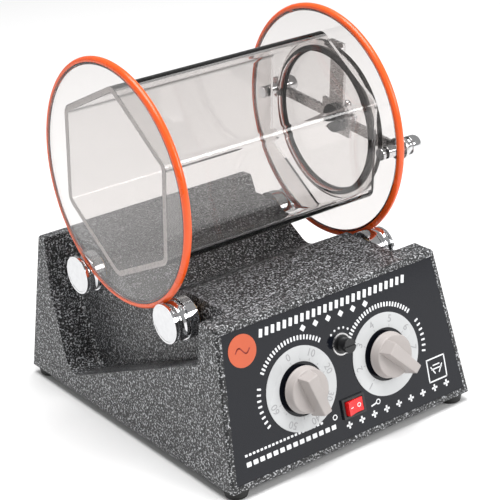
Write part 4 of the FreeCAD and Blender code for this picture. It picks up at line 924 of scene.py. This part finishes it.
class TUMBLER_OT_switch(bpy.types.Operator):
    """Finish the rocker switch and the fuse holder"""
    bl_idname = "tumbler.switch"
    bl_label = "Switch and fuse"

    def execute(self, context):
        case = re_edged("switch_case", "rocker_switch_body", 0.4 * MM)
        give(case, black_plastic(), "housing", "black_plastic", "rocker_switch_body")
        rocker = re_edged("rocker_cap", "power_rocker", 0.5 * MM, 3, 30)
        red = finish("rocker_plastic", moulded(tuple(colours().rocker), 0.16, 900, 0.03))
        give(rocker, red, "rocker", "red_plastic", "power_rocker")
        self.symbols()
        holder = re_edged("fuse_socket", "fuse_holder", 0.4 * MM)
        give(holder, black_plastic(), "housing", "black_plastic", "fuse_holder")
        cap = re_edged("fuse_cap_turned", "fuse_cap", 0.6 * MM, 3)
        give(cap, black_plastic(), "fuse_cap_body", "black_plastic", "fuse_cap")
        fuse = re_edged("fuse_tube", "glass_fuse", 0.4 * MM)
        give(fuse, acrylic(), "fuse", "fuse_glass", "glass_fuse")
        self.ferrules()
        self.rim()
        return {"FINISHED"}

    def symbols(self):
        """A dash and a ring on the two halves of the rocker."""
        hinge = pivot("rocker_tilt")
        half_tilt = math.radians(9)
        run = RIGHT * math.cos(half_tilt) - OUT * math.sin(half_tilt)
        face = OUT * math.cos(half_tilt) + RIGHT * math.sin(half_tilt)
        points = [v.co - hinge for v in NODES["power_rocker"].data.vertices]
        half = max(abs(p.dot(run)) for p in points)
        rise = max(p.dot(face) for p in points)
        dip = max(p.dot(face) for p in points if abs(p.dot(run)) < half * 0.3)
        thick = 0.1 * MM
        inner, outer = 1.1 * MM, 1.7 * MM
        ring = [(inner, 0), (outer, 0), (outer, thick), (inner, thick)]
        shapes = []
        for side, mark in ((-1, bar("rocker_dash", 3.2 * MM, 0.7 * MM, thick, 0.2 * MM)),
                           (1, spun("rocker_ring", ring, closed=True, steps=32))):
            slope = math.atan2(rise - dip, half) * side
            out = (face * math.cos(slope) - run * math.sin(slope)).normalized()
            place = hinge + run * side * half * 0.5 + face * ((rise + dip) / 2 + 0.02 * MM)
            shapes.append(settle(mark, standing(place, out)))
        give(joined("rocker_symbols", shapes), printed(), "rocker", "white_print")

    def ferrules(self):
        """The metal caps on the two ends of the glass fuse."""
        centre = middle("glass_fuse")
        ends = [(v.co - centre).dot(OUT) for v in NODES["glass_fuse"].data.vertices]
        wide, long, over = 2.62 * MM, 5.6 * MM, 0.1 * MM
        outline = [(0, -over), (2.4 * MM, -over), (wide, over), (wide, long), (0, long)]
        shapes = []
        for end, inward in ((min(ends), OUT), (max(ends), -OUT)):
            ferrule = spun("fuse_ferrule", outline, steps=40)
            bpy.ops.object.shade_smooth_by_angle(angle=math.radians(35))
            shapes.append(settle(ferrule, standing(centre + OUT * end, inward)))
        give(joined("fuse_ferrules", shapes), chrome(), "fuse", "fuse_glass")

    def rim(self):
        """A bright washer behind the fuse cap."""
        place = pivot("fuse_cap_turn") - PANEL
        inner, outer, thick = 6.0 * MM, 8.6 * MM, 0.4 * MM
        outline = [(inner, 0), (outer, 0), (outer, thick), (inner, thick)]
        washer = soften(spun("fuse_washer", outline, closed=True, steps=48), 0.1 * MM, 2, 40)
        settle(washer, on_panel(place.x, place.dot(UP)))
        give(washer, steel(), "housing", "steel")


class TUMBLER_OT_back(bpy.types.Operator):
    """Finish the mains inlet and the drive inside the housing"""
    bl_idname = "tumbler.back"
    bl_label = "Inlet and drive"

    def execute(self, context):
        inlet = re_edged("inlet_moulding", "mains_inlet", 0.5 * MM)
        give(inlet, black_plastic(), "housing", "black_plastic", "mains_inlet")
        dress(finish("pin_brass", bare_metal((0.70, 0.52, 0.24), 0.25)), "inlet_pins")
        dress(steel(), "inlet_screws", "motor_bracket", "bracket_screws", "motor_output_shaft",
              "speed_control_body")
        dress(black_plastic(), "timer_body")
        dress(black_rubber(), "drive_belt")
        cast = finish("cast_aluminium", bare_metal((0.50, 0.50, 0.51), 0.42, (1, 1, 1), 700, 0.2))
        dress(cast, "gearbox", "shaft_pulley", "motor_pulley")
        dress(finish("motor_enamel", moulded((0.03, 0.03, 0.035), 0.4, 600, 0.2)), "motor")
        dress(finish("board_laminate", moulded((0.02, 0.13, 0.05), 0.4, 400, 0.2)), "speed_control_board")
        return {"FINISHED"}


# ------------------------------------------------------------------ stage
def area_light(name, offset, size, power):
    """A white rectangular light, placed from the barrel's middle and aimed at it."""
    data = bpy.data.lights.new(name, "AREA")
    data.shape = "RECTANGLE"
    data.size, data.size_y = size
    data.energy = power
    lamp = bpy.data.objects.new(name, data)
    bpy.context.collection.objects.link(lamp)
    lamp.location = DRUM + Vector(offset)
    lamp.rotation_euler = (DRUM - lamp.location).to_track_quat("-Z", "Y").to_euler()


class TUMBLER_OT_studio(bpy.types.Operator):
    """Set out the pale floor, the soft lights and the camera"""
    bl_idname = "tumbler.studio"
    bl_label = "Studio"

    def execute(self, context):
        nothing_selected()
        bpy.ops.mesh.primitive_plane_add(size=14, location=(0, 0, 0))
        floor = named("studio_floor")
        floor.data.materials.append(shader("studio_floor", (0.92, 0.92, 0.92), 0.55)[0])
        world = bpy.data.worlds.new("studio")
        context.scene.world = world
        world.use_nodes = True
        background = world.node_tree.nodes["Background"]
        background.inputs["Color"].default_value = (1, 1, 1, 1)
        background.inputs["Strength"].default_value = 0.4
        area_light("overhead", (0.0, -0.1, 2.2), (1.8, 1.8), 72)
        area_light("front", (0.75, -1.5, 0.75), (1.0, 0.7), 15)
        area_light("side", (-1.5, 0.1, 0.5), (0.5, 0.9), 1)
        self.camera(context)
        context.scene.view_settings.view_transform = "Standard"
        return {"FINISHED"}

    def camera(self, context):
        """A long lens at the left front, looking down a little and leaning slightly."""
        from_drum = Vector((-0.6693, -0.9654, 0.4108))
        turn, rise, roll = math.radians(-35.5), math.radians(22.88), math.radians(-3.67)
        back = Vector((math.sin(turn) * math.cos(rise), -math.cos(turn) * math.cos(rise), math.sin(rise)))
        right = (-back).cross(TOP).normalized()
        up = right.cross(-back)
        level_right = right * math.cos(roll) + up * math.sin(roll)
        level_up = up * math.cos(roll) - right * math.sin(roll)
        data = bpy.data.cameras.new("camera")
        data.sensor_width = 36
        data.lens = 114.8
        data.clip_end = 60
        camera = bpy.data.objects.new("camera", data)
        context.collection.objects.link(camera)
        axes = Matrix((level_right, level_up, back)).transposed().to_4x4()
        camera.matrix_world = Matrix.Translation(DRUM + from_drum) @ axes
        context.scene.camera = camera


OPERATORS = (
    TUMBLER_OT_housing, TUMBLER_OT_drive_rings, TUMBLER_OT_barrel, TUMBLER_OT_rollers, TUMBLER_OT_clamp,
    TUMBLER_OT_panel_sheet, TUMBLER_OT_knobs, TUMBLER_OT_switch, TUMBLER_OT_back, TUMBLER_OT_studio,
)


class TUMBLER_PT_pieces(bpy.types.Panel):
    """The tumbler's colours, sizes and pieces"""
    bl_label = "Tumbler"
    bl_space_type = "VIEW_3D"
    bl_region_type = "UI"
    bl_category = "Tumbler"

    def draw(self, context):
        for settings in (colours(), sizes()):
            for name in settings.__annotations__:
                self.layout.prop(settings, name)
        for operator in OPERATORS:
            self.layout.operator(operator.bl_idname)


CLASSES = (TumblerColours, TumblerSizes, *OPERATORS, TUMBLER_PT_pieces)


def register():
    for cls in CLASSES:
        bpy.utils.register_class(cls)
    bpy.types.Scene.tumbler_colours = bpy.props.PointerProperty(type=TumblerColours)
    bpy.types.Scene.tumbler_sizes = bpy.props.PointerProperty(type=TumblerSizes)


def unregister():
    del bpy.types.Scene.tumbler_sizes
    del bpy.types.Scene.tumbler_colours
    for cls in reversed(CLASSES):
        bpy.utils.unregister_class(cls)


def main():
    register()
    bpy.ops.tumbler.housing()
    bpy.ops.tumbler.drive_rings()
    bpy.ops.tumbler.barrel()
    bpy.ops.tumbler.rollers()
    bpy.ops.tumbler.clamp()
    bpy.ops.tumbler.panel_sheet()
    bpy.ops.tumbler.knobs()
    bpy.ops.tumbler.switch()
    bpy.ops.tumbler.back()
    bpy.ops.tumbler.studio()


if __name__ == "__main__":
    main()
